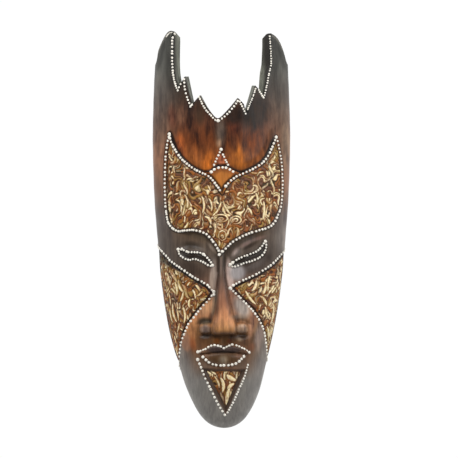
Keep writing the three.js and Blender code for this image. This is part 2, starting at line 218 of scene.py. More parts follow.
def arcs(y):
    """For each y, the length around the bow from the crown to each of the angles."""
    w, h = half_width(y)[:, None], rise(y)[:, None]
    middle = 0.5 * (ANGLES[1:] + ANGLES[:-1])
    steps = np.hypot(w * np.cos(middle), h * np.sin(middle)) * (ANGLES[1] - ANGLES[0])
    return np.concatenate([np.zeros((len(y), 1)), np.cumsum(steps, axis=1)], axis=1)


def angle_of(s, y):
    """The angle around the bow, and how far below it down the side band, for unrolled points of one row."""
    arc = arcs(np.array([y]))[0]
    return np.sign(s) * np.interp(abs(s), arc, ANGLES), np.maximum(0, abs(s) - arc[-1])


def unroll(x, y):
    """s for points given as seen from the front."""
    w = half_width(y)
    share = np.clip((x - shift(y)) / w, -1, 1)
    along = np.array([np.interp(a, ANGLES, row) for a, row in zip(np.arcsin(abs(share)), arcs(y))])
    return np.sign(share) * (along + np.maximum(0, abs(x - shift(y)) - w))


def surface(angle, y, drop, level):
    """A point of the face at a level over the bow, and the direction that faces out there."""
    w, h = half_width(y), rise(y)
    out_x, out_z = np.sin(angle) * h, np.cos(angle) * w
    size = np.maximum(1e-9, np.hypot(out_x, out_z))
    out_x, out_z = out_x / size, out_z / size
    x0 = shift(y) + w * np.sin(angle)
    swell = MUZZLE_SWELL * mound(x0 - lean(y), y, *MUZZLE)
    lift = (swell + level) * ramp(y, CHIN_END, 12)
    point = np.stack([x0 + out_x * lift, y, RIM_BAND + h * np.cos(angle) + out_z * lift - drop], axis=-1)
    return point, np.stack([out_x, np.zeros_like(out_x), out_z], axis=-1)


# Outlines, as seen from the front

def run(points, pitch=1.5):
    """A smooth line through a few points."""
    points = np.array(points, float)
    along = np.concatenate([[0], np.cumsum(np.hypot(*np.diff(points, axis=0).T))])
    at = np.linspace(0, along[-1], max(2, int(along[-1] / pitch) + 1))
    return np.stack([profile(np.stack([along, points[:, k]], axis=1))(at) for k in (0, 1)], axis=1)


def straight(points, pitch=1.5):
    """A line with corners, cut into short steps."""
    points = np.array(points, float)
    parts = []
    for a, b in zip(points[:-1], points[1:]):
        count = max(1, int(np.hypot(*(b - a)) / pitch))
        parts.append(a + (b - a) * np.arange(count)[:, None] / count)
    return np.concatenate([*parts, points[-1:]])


def beyond(points):
    """A line past the mask, which needs only its corners."""
    return straight(points, 400)


def chain(*parts):
    """The lines around an outline. Each is given as its kind and its points after the last one's end."""
    lines, start = [], parts[-1][-1]
    for kind, *points in parts:
        lines.append(kind([start, *points]))
        start = points[-1]
    return lines


skyline_lines = chain(
    # the left horn, outside and inside
    (run, (-82.6, 210), (-79.8, 225.5), (-74.5, 238.4), (-69.5, 246.8), (-65, 250), (-61.6, 249)),
    (run, (-60.4, 240), (-60.7, 222), (-60.7, 208), (-59.8, 196), (-58, 187), (-55, 177.3)),
    # the teeth and the valley between them
    (straight, (-46.6, 192.4), (-37.4, 157.3), (-27.4, 168.6)),
    (run, (-18.3, 154), (-11.4, 145), (-7.4, 141), (-4.6, 139.7)),
    (run, (-1.4, 141.2), (4.4, 146.9), (12.8, 155.8), (20.9, 165.2)),
    (straight, (22.6, 163.8), (28.4, 157.6), (30.9, 147.6), (43.2, 181), (53.4, 169)),
    # the right horn, inside and outside, and back around above the mask
    (run, (56, 184), (58.3, 196), (60.8, 206), (61.1, 214), (60.6, 230), (59.6, 246.2)),
    (run, (62.6, 246.8), (69.6, 242), (74.7, 234.4), (79, 223.4), (82.6, 210), (90, 196)),
    (beyond, (120, 196), (120, 290), (-120, 290), (-120, 196), (-90, 196)),
)
crest_lines = crest_left_top, crest_right_top, crest_right, crest_left = chain(
    (run, (-63.8, 112), (-59.2, 101.9), (-52.8, 91.7), (-45.1, 83.9), (-34.8, 76.2), (-23.2, 70.4),
     (-14.2, 65.3), (-7.8, 57.6), (1.1, 45.4)),
    (run, (5, 53.8), (11.5, 60.9), (20.5, 67.3), (32, 72.5), (44.9, 78.9), (53.9, 85.9), (60.4, 95.5),
     (65.5, 107.1), (69, 116.8)),
    (run, (74.5, 93), (76.9, 62), (75.7, 35), (72, 20), (63, 4.9), (46.2, -1.5), (33.4, -5.4),
     (21.8, -11.2), (12.7, -17), (5.5, -24), (-1, -31)),
    (run, (-6.6, -21.4), (-11.7, -13.7), (-18.1, -6.7), (-25.8, -2.8), (-36, -0.6), (-46.4, -1.5),
     (-55.3, -2.1), (-62.5, 2.3), (-68, 12), (-71, 45), (-71, 74), (-69.4, 100), (-65.6, 121.2)),
)
crest_edge = np.stack([np.linspace(-65.6, 69, 120), crest_top(np.linspace(-65.6, 69, 120))], axis=1)
left_cheek_lines = left_cheek_top, left_cheek_low, _ = chain(
    (run, (-70.8, -31.8), (-62.5, -40.7), (-51.5, -48.5), (-38.7, -57.5), (-25.8, -65.1), (-16.8, -70.9),
     (-9.7, -79.5)),
    (run, (-16.8, -89.6), (-24.6, -97.5), (-33.5, -108.9), (-40.6, -117.9), (-45.1, -127.5),
     (-48.9, -137.2), (-52.2, -153.8), (-52.6, -176)),
    (straight, (-100, -176), (-100, -19.5), (-82, -19.5)),
)
right_cheek_lines = _, right_cheek_low, right_cheek_top = chain(
    (straight, (100, -24), (100, -165), (57.3, -165)),
    (run, (56.4, -150.1), (53.9, -130.8), (49.4, -117.9), (44.2, -108.9), (38.4, -101.2), (27, -89.6),
     (16.6, -79.3), (11.5, -74.2)),
    (run, (14.7, -70.3), (23.1, -65.8), (39.7, -58.1), (55.2, -49.8), (66.2, -41.3), (77.1, -29.2),
     (82, -24)),
)
left_eye_lines = left_eye_top, left_eye_low = chain(
    (run, (-47.7, -26.2), (-40.8, -28.8), (-34, -28.6), (-26.4, -29.4), (-22.6, -31.4), (-17.4, -36.4),
     (-12.8, -41.8), (-10.8, -44.8)),
    (run, (-14.4, -45.9), (-23.8, -40.6), (-33.8, -37.2), (-40.3, -38.2), (-46.5, -36.2), (-52.3, -32),
     (-54.8, -24.6)),
)
right_eye_lines = right_eye_low, right_eye_top = chain(
    (run, (16.2, -46.9), (28.8, -42.4), (44, -37.4), (50.8, -33), (54.8, -27.2), (56.5, -20.4),
     (56.2, -14.9)),
    (run, (54.2, -16.8), (50.6, -22), (45, -27.2), (39.2, -29.8), (31.8, -32.5), (24.4, -35.6),
     (16.6, -39.8), (10.1, -45.4)),
)


def flat(line):
    """A line or outline in unrolled coordinates."""
    return np.stack([unroll(line[:, 0], line[:, 1]), line[:, 1]], axis=1)


def distance(s, y, line, closed):
    """How far points lie from a line; inside a closed one it counts above zero, and outside below."""
    reach = np.full(s.shape, float(FARTHEST ** 2))
    within = np.zeros(s.shape, bool)
    ends = np.roll(line, -1, axis=0) if closed else line[1:]
    for (ax, ay), (bx, by) in zip(line, ends):
        dx, dy = bx - ax, by - ay
        t = np.clip(((s - ax) * dx + (y - ay) * dy) / (dx * dx + dy * dy + 1e-12), 0, 1)
        reach = np.minimum(reach, (s - ax - t * dx) ** 2 + (y - ay - t * dy) ** 2)
        if closed and ay != by:
            within ^= ((ay > y) != (by > y)) & (s < ax + (y - ay) * dx / dy)
    reach = np.sqrt(reach)
    return np.where(within, reach, -reach) if closed else reach


LINES_AROUND = {
    "skyline": skyline_lines,
    "crest": crest_lines,
    "left_cheek": left_cheek_lines,
    "right_cheek": right_cheek_lines,
    "left_eye": left_eye_lines,
    "right_eye": right_eye_lines,
    "chin": chain((straight, (31, -174.5), (5.6, -233), (-26, -173.5))),
    "triangle": chain((straight, (8.3, 83), (-0.4, 101.3), (-9.7, 83))),
}
OUTLINES = {name: np.concatenate([line[:-1] for line in lines]) for name, lines in LINES_AROUND.items()}
FLAT = {name: flat(outline) for name, outline in OUTLINES.items()}
FLAT_EDGE = flat(crest_edge)


def depth_in(name, s, y):
    """How far points lie inside a named outline, worked out only around it."""
    outline = FLAT[name]
    low, high = outline.min(axis=0) - NEAR, outline.max(axis=0) + NEAR
    close = (s > low[0]) & (s < high[0]) & (y > low[1]) & (y < high[1])
    depth = np.full(s.shape, -float(NEAR))
    depth[close] = distance(s[close], y[close], outline, True)
    return depth


# The level of the carving over the bow

def face_level(x, y):
    below = brow_line(x) - y
    socket = SOCKET_DEPTH * (1 - ramp(below, 10, 38)) * (1 - ramp(abs(x), 42, 22))
    lids = LID_HEIGHT * sum(mound(x, y, *lid) for lid in LIDS)
    hollows = sum(mound(x, y, *hollow) for hollow in CHEEK_HOLLOWS)
    under = ramp(below, 1.2, 2.8) * (1 - ramp(abs(x), 60, 6))
    return under * np.minimum(0.3, 0.3 - socket + lids - CHEEK_HOLLOW_DEPTH * hollows)


def wing_round(x, y):
    """0 at the middle of a wing of the nose and 1 at its edge."""
    across, along = abs(abs(x) - WING_AWAY) / WING_RADII[0], abs(y - WING_Y) / WING_RADII[1]
    return (across ** WING_SQUARENESS + along ** WING_SQUARENESS) ** (1 / WING_SQUARENESS)


def around_wing(x, y):
    """Where the crease around a wing of the nose shows: above it and on its outer side."""
    above = smooth((y - WING_Y - 2) / 4) * ramp(abs(x), 12, 5)
    outside = 0.35 * smooth((abs(x) - WING_AWAY - 1) / 5) * ramp(y, -131, 3)
    return np.maximum(above, outside)


def nose_level(x, y, level):
    aside = abs(x) / nose_half_width(y)
    ridge = nose_height(y) * (1 - 0.16 * aside ** 2) * (1 - ramp(aside, 0.62, 0.46))
    ridge = ridge - 14 * ramp(aside, 0.95, 0.5)
    level = np.where((y > NOSE_SPAN[0]) & (y < NOSE_SPAN[1]), softer_max(level, ridge, 0.8), level)
    round_wing = wing_round(x, y)
    level = level - 0.8 * bell(round_wing, 1.2, 0.3) * around_wing(x, y)
    ball = WING_RADII[2] * np.sqrt(np.maximum(0, 1 - round_wing ** 2)) - 14 * (round_wing >= 1)
    level = softer_max(level, ball, 4.2)
    pit = np.exp(-((abs(x) - 24) / 7) ** 2 - ((y + 133) / 3) ** 2)
    philtrum = bell(x, 0, 3.4) * ramp(y, -134, -4) * ramp(y, -149, 4)
    return level - 2 * pit - 1.2 * philtrum


def lip_level(x, y, level):
    corner = np.sqrt(np.maximum(0, 1 - (x / LIP_REACH) ** 4))
    for top, low, full_at in ((upper_lip(x), parting(x), 0.45), (parting(x), lower_lip(x), 0.5)):
        half = np.maximum(0.05, 0.5 * (top - low) * np.clip(7 - 7 * abs(x / LIP_REACH), 0, 1))
        t = np.clip((0.5 * (top + low) + half - y) / (2 * half), 0, 1)
        bulge = np.where(t < full_at, t / full_at, (1 - t) / (1 - full_at))
        round_lip = LIP_HEIGHT * corner * np.sqrt(np.maximum(0, 1 - (1 - bulge) ** 2))
        level = np.where((t > 0) & (t < 1) & (abs(x) < LIP_REACH), level + round_lip, level)
    return level - 0.4 * bell(y, parting(x), 1.1) * ramp(abs(x), LIP_REACH - 1, -4)


def carved_level(x0, y, s):
    """The wood's level over the bow, under the scrollwork where there is any."""
    x = x0 - lean(y)
    level = lip_level(x, y, nose_level(x, y, face_level(x, y)))
    above = (y > crest_top(x0)) & (abs(x0 - 1.7) < 68)
    close = above & (y < crest_top(x0) + 60)
    away = np.full(s.shape, OUT_OF_REACH)
    away[close] = distance(s[close], y[close], FLAT_EDGE, False)
    tips = ramp(x0, -66, 9) * ramp(x0, 69.5, -9)
    level = level - above * tips * EDGE_DROP * (1 - smooth((away - 1) / EDGE_REACH)) * ramp(away, 0.7, 1.3)
    in_crest = depth_in("crest", s, y)
    level = np.where(in_crest > 0, -(CREST_DEPTH + UNDER_RELIEF) * ramp(in_crest, 0.6, 1.8), level)
    level = level - 0.9 * bell(in_crest, -2.7, 1.1) * (y < 76) * (y > 42) * (abs(x0) < 19)
    for cheek in ("left_cheek", "right_cheek"):
        inside = depth_in(cheek, s, y)
        pocket = -(CHEEK_DEPTH + UNDER_RELIEF) * ramp(inside, 0.7, 3)
        level = np.where(inside > 0, np.minimum(level, 0.5) * (1 - smooth(inside)) + pocket, level)
    level = level - (CHIN_DEPTH + UNDER_RELIEF) * ramp(depth_in("chin", s, y), 0.9, 4)
    level = level - TRIANGLE_DEPTH * ramp(depth_in("triangle", s, y), 0.5, 1.3)
    for eye in ("left_eye", "right_eye"):
        inside = depth_in(eye, s, y)
        level = level - EYE_SLIT_DEPTH * ramp(inside, 0.4, 2.4) * (1 - 0.35 * ramp(inside, 2, 3))
    edge = np.clip(-depth_in("skyline", s, y), 0, EDGE_ROUNDING)
    rounding = EDGE_ROUNDING - np.sqrt(EDGE_ROUNDING ** 2 - (EDGE_ROUNDING - edge) ** 2)
    flutes = 0.10 * np.sin(s / 3.1 + 0.8 * np.sin(y / 37)) * np.sin(y / 23 + s / 11)
    return level - rounding + (flutes + 0.06 * np.sin(y / 4.3 + s / 6))


# Meshes

def mesh_object(name, points, faces, materials, face_materials=None):
    """A mesh object from points in millimetres."""
    mesh = bpy.data.meshes.new(name)
    mesh.from_pydata(np.asarray(points) * MM, [], [tuple(map(int, face)) for face in faces])
    for material in materials:
        mesh.materials.append(material)
    if face_materials is not None:
        mesh.polygons.foreach_set("material_index", np.asarray(face_materials, np.int32))
    mesh.update()
    made = bpy.data.objects.new(name, mesh)
    bpy.context.scene.collection.objects.link(made)
    return made


def add_values(made, **values):
    for name, value in values.items():
        attribute = made.data.attributes.new(name, "FLOAT", "POINT")
        attribute.data.foreach_set("value", np.asarray(value, np.float32))


def body_rows():
    """The rows of the fine surface, closer over the nose, the eyes and the lips."""
    rows = [CHIN_END + step for step in FIRST_ROWS]
    while rows[-1] < PAST_HORNS - 1:
        y = rows[-1]
        finer = FINE_ROW_PITCH if -176 < y < 2 or 70 < y < 104 else ROW_PITCH
        rows.append(y + (FINEST_ROW_PITCH if -137 < y < -111 else finer))
    return np.array([*rows[:-1], PAST_HORNS])


def body_points():
    """Loops around the body: the front, the side bands, the flat rim and the arch of the hollow."""
    rows = body_rows()
    drops = np.array(BAND_DROPS, float)
    past = np.concatenate([drops[::-1], np.zeros(COLUMNS + 1), drops])
    grid = []
    for y, end in zip(rows, arcs(rows)[:, -1]):
        s = np.concatenate([-end - drops[::-1], np.linspace(-1, 1, COLUMNS + 1) * end, end + drops])
        grid.append((angle_of(s, y)[0], past, s, np.full(len(s), y)))
    angle, drop, s, y = np.array(grid).swapaxes(0, 1)
    x0 = shift(y) + half_width(y) * np.sin(angle)
    front, _ = surface(angle, y, drop, carved_level(x0, y, s))
    rows = rows[:, None]
    opened = np.sqrt(np.maximum(0, 1 - (1 - np.clip((rows - HOLLOW_FROM) / HOLLOW_RUN_OUT, 0, 1)) ** 2))
    wide, high = (half_width(rows) - RIM_WIDTH) * opened, (crown(rows) - WALL) * opened
    turn = np.linspace(0, math.pi, ARCH_STEPS + 1)
    roof = np.minimum(HOLLOW_ROOF, 1.06 * high * np.sin(turn))
    arch = np.stack(np.broadcast_arrays(shift(rows) + wide * np.cos(turn), rows, roof), axis=-1)
    return np.concatenate([front, arch], axis=1)


def loft_faces(loops, count):
    """Quads between closed loops that have the same count of points."""
    r, c = np.meshgrid(np.arange(loops - 1), np.arange(count), indexing="ij")
    a, b = r * count + c, r * count + (c + 1) % count
    return np.stack([a, b, b + count, a + count], axis=-1).reshape(-1, 4)


def waste_above():
    """The waste above the skyline. The cuts are about square to the bow, so they lean towards the middle."""
    x, y = OUTLINES["skyline"].T
    at = np.minimum(y, PAST_HORNS)
    share = np.clip((x - shift(y)) / half_width(at), -1, 1)
    face = RIM_BAND + rise(at) * np.sqrt(1 - share ** 2)
    lean_in = np.sign(x) * CUT_LEAN * np.minimum(1, (x / LEAN_FROM) ** 2)
    lean_in *= 1 + 0.4 * np.exp(-((x - 61) / 12) ** 2 - ((y - 203) / 26) ** 2)
    worn = 6 * sum(np.exp(-((x - tip[0]) ** 2 + (y - tip[1]) ** 2) / 20) for tip in HORN_TIPS)
    loops = np.stack([
        np.stack([x - lean_in * (face - z), y - worn * ramp(face - z, 3, 8), np.full(len(x), z)], axis=-1)
        for z in CUT_LEVELS])
    faces = loft_faces(len(CUT_LEVELS), len(x)).tolist()
    lid = (len(CUT_LEVELS) - 1) * len(x)
    faces += [list(range(len(x)))[::-1], list(range(lid, lid + len(x)))]
    return loops.reshape(-1, 3), faces


def turned_out(made):
    """Makes a closed mesh's faces point out and joins points that coincide."""
    b = bmesh.new()
    b.from_mesh(made.data)
    bmesh.ops.remove_doubles(b, verts=b.verts, dist=1e-7)
    bmesh.ops.recalc_face_normals(b, faces=b.faces)
    b.to_mesh(made.data)
    b.free()


def make_body(materials):
    """The body, with the materials of its front, its cut walls and its back."""
    points = body_points()
    loops, count = points.shape[:2]
    faces = loft_faces(loops, count).tolist()
    front = COLUMNS + 1 + 2 * len(BAND_DROPS)
    kinds = np.where(np.arange(len(faces)) % count < front - 1, 0, 2)
    faces += [list(range(count)), list(range((loops - 1) * count, loops * count))]
    body = mesh_object("mask_body", points.reshape(-1, 3), faces, materials, [*kinds, 0, 0])
    waste_points, waste_faces = waste_above()
    waste = mesh_object("waste", waste_points, waste_faces, materials, np.ones(len(waste_faces)))
    turned_out(body)
    turned_out(waste)
    cut = body.modifiers.new("skyline", "BOOLEAN")
    cut.operation = "DIFFERENCE"
    cut.solver = "EXACT"
    cut.object = waste
    bpy.context.view_layer.update()
    mesh = bpy.data.meshes.new_from_object(body.evaluated_get(bpy.context.evaluated_depsgraph_get()))
    body.modifiers.clear()
    body.data = mesh
    bpy.data.objects.remove(waste)
    mesh.shade_smooth()
    mesh.set_sharp_from_angle(angle=math.radians(SHARP_ANGLE))
    return body


# Scrollwork: a field of leaves that follow each other in strands and wind into curls, with figures laid on it

LEAF_WIDTH = 5.6
LEAF_LENGTHS = (10, 22)
CURL_PITCH = 14
STEP = 0.3  # spacing of the grid that the strokes are laid on
MOAT = 0.6  # width of the cut around a stroke


def curled(rng, s, y):
    """Grid coordinates wound up around many places."""
    u, v = s.copy(), y.copy()
    for cy in np.arange(y[0, 0], y[-1, 0], CURL_PITCH):
        for cs in np.arange(s[0, 0], s[0, -1], CURL_PITCH):
            at_s, at_y = cs + rng.uniform(-0.4, 0.4) * CURL_PITCH, cy + rng.uniform(-0.4, 0.4) * CURL_PITCH
            reach = CURL_PITCH * rng.uniform(0.75, 1.25)
            twist = rng.choice((-1, 1)) * rng.uniform(1.0, 3.4)
            i0, i1 = np.searchsorted(y[:, 0], (at_y - 1.3 * reach, at_y + 1.3 * reach))
            j0, j1 = np.searchsorted(s[0], (at_s - reach, at_s + reach))
            here = (slice(i0, i1), slice(j0, j1))
            ds, dy = s[here] - at_s, y[here] - at_y
            turn = twist * smooth(1 - np.hypot(ds, dy / 1.25) / reach)
            u[here] += (np.cos(turn) - 1) * ds - np.sin(turn) * dy
            v[here] += np.sin(turn) * ds + (np.cos(turn) - 1) * dy
    return u, v


def foliage(rng, s_axis, y_axis, slope):
    """Height from 0 to 1, gilding and tone of curled leaves over a grid."""
    u, v = curled(rng, *np.meshgrid(s_axis, y_axis))
    u = u - slope * v + 1.2 * np.sin(v / 9 + u / 13) + 500
    strand = (u / LEAF_WIDTH).astype(int)
    across = 2 * (u / LEAF_WIDTH - strand) - 1
    length = rng.uniform(*LEAF_LENGTHS, strand.max() + 1)[strand]
    along = v / length + rng.uniform(0, 1, strand.max() + 1)[strand] + 100
    number = along.astype(int)
    along = along - number
    tops, gilts, hues, bends = rng.uniform(0, 1, (4, strand.max() + 1, number.max() + 1))[:, strand, number]
    bend = 0.5 * (bends - 0.5) * np.sin(math.pi * along)
    share = abs(across - bend) / (0.15 + 0.85 * np.sin(math.pi * along) ** 0.6)
    bead = np.sqrt(np.clip(1 - share ** 2, 0, 1)) * (0.45 + 0.45 * tops)
    return bead, ramp(gilts, 0.5, 0.35) * ramp(share, 0.85, -0.6), hues


def placed(at, along, across, turn):
    c, s = math.cos(turn), math.sin(turn)
    return at + np.stack([along * c - across * s, along * s + across * c], axis=1)


def scroll(rng, at, size, turn, hand):
    """A curl that thins toward its eye."""
    t = np.linspace(0, 1, 40)
    angle = hand * 4.4 * t
    radius = 0.75 * size * (1 - 0.72 * t)
    line = placed(at, radius * np.cos(angle), radius * np.sin(angle), turn)
    return [(line, 0.25 + size * rng.uniform(0.16, 0.3) * np.sin(math.pi * t ** 0.55) ** 1.3)]


def sway(rng, at, size, turn, hand):
    """A leaf bent like an S."""
    t = np.linspace(-1, 1, 40)
    line = placed(at, size * 1.25 * t, hand * 0.36 * size * np.sin(math.pi * t * 0.85), turn)
    return [(line, 0.25 + size * rng.uniform(0.15, 0.28) * np.cos(0.5 * math.pi * t) ** 1.3)]


def spray(rng, at, size, turn, hand):
    """Two or three leaves side by side, bent the same way."""
    t = np.linspace(0, 1, 26)
    leaves = []
    for k in range(rng.integers(2, 4)):
        length = size * (1 - 0.2 * k) * rng.uniform(0.8, 1.1)
        across = hand * (0.75 * length * (t - t * t) + 0.42 * size * k)
        line = placed(at, length * (1.6 * t - 0.8), across, turn + 0.2 * hand * k)
        leaves.append((line, 0.25 + size * rng.uniform(0.12, 0.27) * np.sin(math.pi * t ** 0.7) ** 1.2))
    return leaves


def ring(s, y, across, tall, width):
    """An oval ring."""
    t = np.linspace(0, 2 * math.pi, 50)
    line = np.array((s, y)) + np.stack([across * np.cos(t), tall * np.sin(t)], axis=1)
    return line, width * (0.8 + 0.2 * np.sin(t + 1))


def reed(s0, y0, s1, y1, bend, width):
    """A long stroke that tapers at both ends."""
    t = np.linspace(0, 1, 40)
    start, end = np.array([s0, y0], float), np.array([s1, y1], float)
    sideways = np.array([y0 - y1, s1 - s0])
    line = start + (end - start) * t[:, None] + sideways * (bend * 4 * t * (1 - t))[:, None]
    return line, 0.3 + width * np.sin(math.pi * t) ** 0.7


def reed_on_front(x0, y0, x1, y1, bend, width):
    """A reed whose ends are given as seen from the front."""
    s0, s1 = unroll(np.array([x0, x1], float), np.array([y0, y1], float))
    return reed(s0, y0, s1, y1, bend, width)


def scrollwork(rng, outline, pitch, upright, curls, figures):
    """Gilded strokes over an unrolled outline, as (line, half widths, height, gilding, tone)."""
    strokes = []
    low, high = outline.min(axis=0), outline.max(axis=0)
    for y in np.arange(low[1], high[1], pitch):
        for s in np.arange(low[0], high[0], pitch):
            at = np.array([s, y]) + rng.uniform(-0.4, 0.4, 2) * pitch
            kind, turn, hand = rng.random(), rng.uniform(0, 2 * math.pi), rng.choice((-1, 1))
            size = rng.uniform(5.5, 9.5)
            along = upright + rng.normal(0, 0.25 + curls)
            shapes = (scroll(rng, at, size, turn, hand) if kind < curls else
                      sway(rng, at, size, along, hand) if kind < curls + 0.25 else
                      spray(rng, at, size, along, hand))
            strokes += [(*shape, rng.uniform(0.85, 1), rng.uniform(0.1, 1), rng.random()) for shape in shapes]
    return [*strokes, *((*shape, 1.0, 1.0, 0.6) for shape in figures)]


def softened(values, passes):
    for _ in range(passes):
        for axis in (0, 1):
            values = 0.25 * (np.roll(values, 1, axis) + 2 * values + np.roll(values, -1, axis))
    return values


def lay_strokes(rng, strokes, low, high, slope):
    """Height, gilding and tone of the leaves and the strokes, each cut round where it lies on others."""
    s_axis, y_axis = (np.arange(start, end + STEP, STEP) for start, end in zip(low, high))
    height, gilding, tone = foliage(rng, s_axis, y_axis, slope)
    for line, widths, top, gilt, hue in strokes:
        margin = widths.max() + MOAT
        i0, i1 = np.searchsorted(y_axis, (line[:, 1].min() - margin, line[:, 1].max() + margin))
        j0, j1 = np.searchsorted(s_axis, (line[:, 0].min() - margin, line[:, 0].max() + margin))
        if i0 == i1 or j0 == j1:
            continue
        off = np.hypot(s_axis[None, j0:j1, None] - line[:, 0], y_axis[i0:i1, None, None] - line[:, 1])
        nearest = np.argmin(off / widths, axis=2)
        wide = widths[nearest]
        share = np.take_along_axis(off, nearest[..., None], axis=2)[..., 0] / wide
        bead = top * np.minimum(1, 0.3 + 0.5 * wide) * np.sqrt(np.clip(1 - share ** 2, 0, 1))
        gold = gilt * ramp(share, 1, -0.75) * smooth(wide / 1.1)
        here = (slice(i0, i1), slice(j0, j1))
        moat = (share - 1) * wide < MOAT
        height[here] = np.where(share < 1, bead, np.where(moat, np.minimum(height[here], 0.12), height[here]))
        gilding[here] = np.where(share < 1, gold, np.where(moat, 0.25 * gilding[here], gilding[here]))
        tone[here] = np.where(share < 1, hue, tone[here])
    return softened(height, 2), softened(gilding, 3), softened(tone, 3)


def make_patch(rng, material, name, outline_name, floor, margin, pitch, tilt, curls, shade_toward, shaded, figures):
    """A thin carved skin over a panel, on the same bow as the wood, with its edges sunk in the wood."""
    outline = FLAT[outline_name]
    low, high = outline.min(axis=0), outline.max(axis=0)
    upright = 0.5 * math.pi + tilt
    strokes = scrollwork(rng, outline, pitch, upright, curls, figures)
    height, gilding, tone = lay_strokes(rng, strokes, low, high, 1 / math.tan(upright))

    def sample(values, s, y):
        return between(values, (y - low[1]) / STEP, (s - low[0]) / STEP)

    rows = np.arange(low[1], high[1], PATCH_PITCH)
    reach = arcs(rows)[:, -1:] + RIM_BAND - 0.05
    s, y = np.meshgrid(np.arange(low[0], high[0], PATCH_PITCH), rows)
    s = np.clip(s, -reach, reach)
    to_rim = reach - abs(s)
    from_edge = depth_in(outline_name, s, y)
    inside = np.minimum(from_edge, 0.9 + to_rim)
    angle, drop = np.array([angle_of(line, row) for line, row in zip(s, rows)]).swapaxes(0, 1)
    tall = sample(height, s, y)
    # the gold is dimmed toward one side of the panel as painted shade, and sampled a little off so that it
    # sits up and to the left of the ridges as a painted highlight on their lit flanks
    bright = ramp(depth_in(outline_name, s + shade_toward[0], y + shade_toward[1]), -1, 8)
    gilt = sample(gilding, s + 0.4, y - 0.4) * mix(0.45, 1, bright)
    show = ramp(inside, margin, 1.6)
    level = -floor * ramp(inside, 0.6, 1.8 if floor < 2 else 3.2) + RELIEF_HEIGHT * tall * show
    points, _ = surface(angle, y, drop, level - 0.9 * (1 - ramp(inside, 0.7, 1.1)))

    used, folded = inside > 0.5, np.diff(s, axis=1) < 1e-6
    whole = used[:-1, :-1] & used[1:, :-1] & used[:-1, 1:] & used[1:, 1:] & ~(folded[:-1] & folded[1:])
    i, j = np.nonzero(whole)
    corners = np.array([i, i, i + 1, i + 1]), np.array([j, j + 1, j + 1, j])
    wanted = np.zeros(s.shape, bool)
    wanted[corners] = True
    number = np.cumsum(wanted).reshape(s.shape) - 1
    patch = mesh_object(name, points[wanted], number[corners].T, [material])

    # shade: painted shadow under a cheek panel's top edge and inside its sunk rim, and darker toward its low
    # tip
    shade = np.zeros_like(s)
    if shaded:
        edge_line, widening, low_shade = shaded
        below = distance(s, y, flat(edge_line), False)
        shade = 0.9 - 0.9 * smooth((below - 0.5 - widening * np.maximum(0, abs(s) - 30) ** 2) / 5)
        shade = np.maximum(shade, 0.45 * ramp(from_edge, 6, -3))
        shade = np.maximum(shade, low_shade * ramp(y, -125, -15))
    # rim: painted shade where the panel sinks under the wood
    add_values(
        patch, gilt=(gilt * show)[wanted], tall=(tall * show)[wanted],
        tone=(sample(tone, s, y) * smooth(to_rim / 12))[wanted],
        rim=(1 - smooth((inside - margin + 0.8) / 2.2))[wanted], shade=shade[wanted])
    patch.data.shade_smooth()
    return patch


# Rows of dots of thick paint, as (points, pitch, radius), where short lists are straight lines

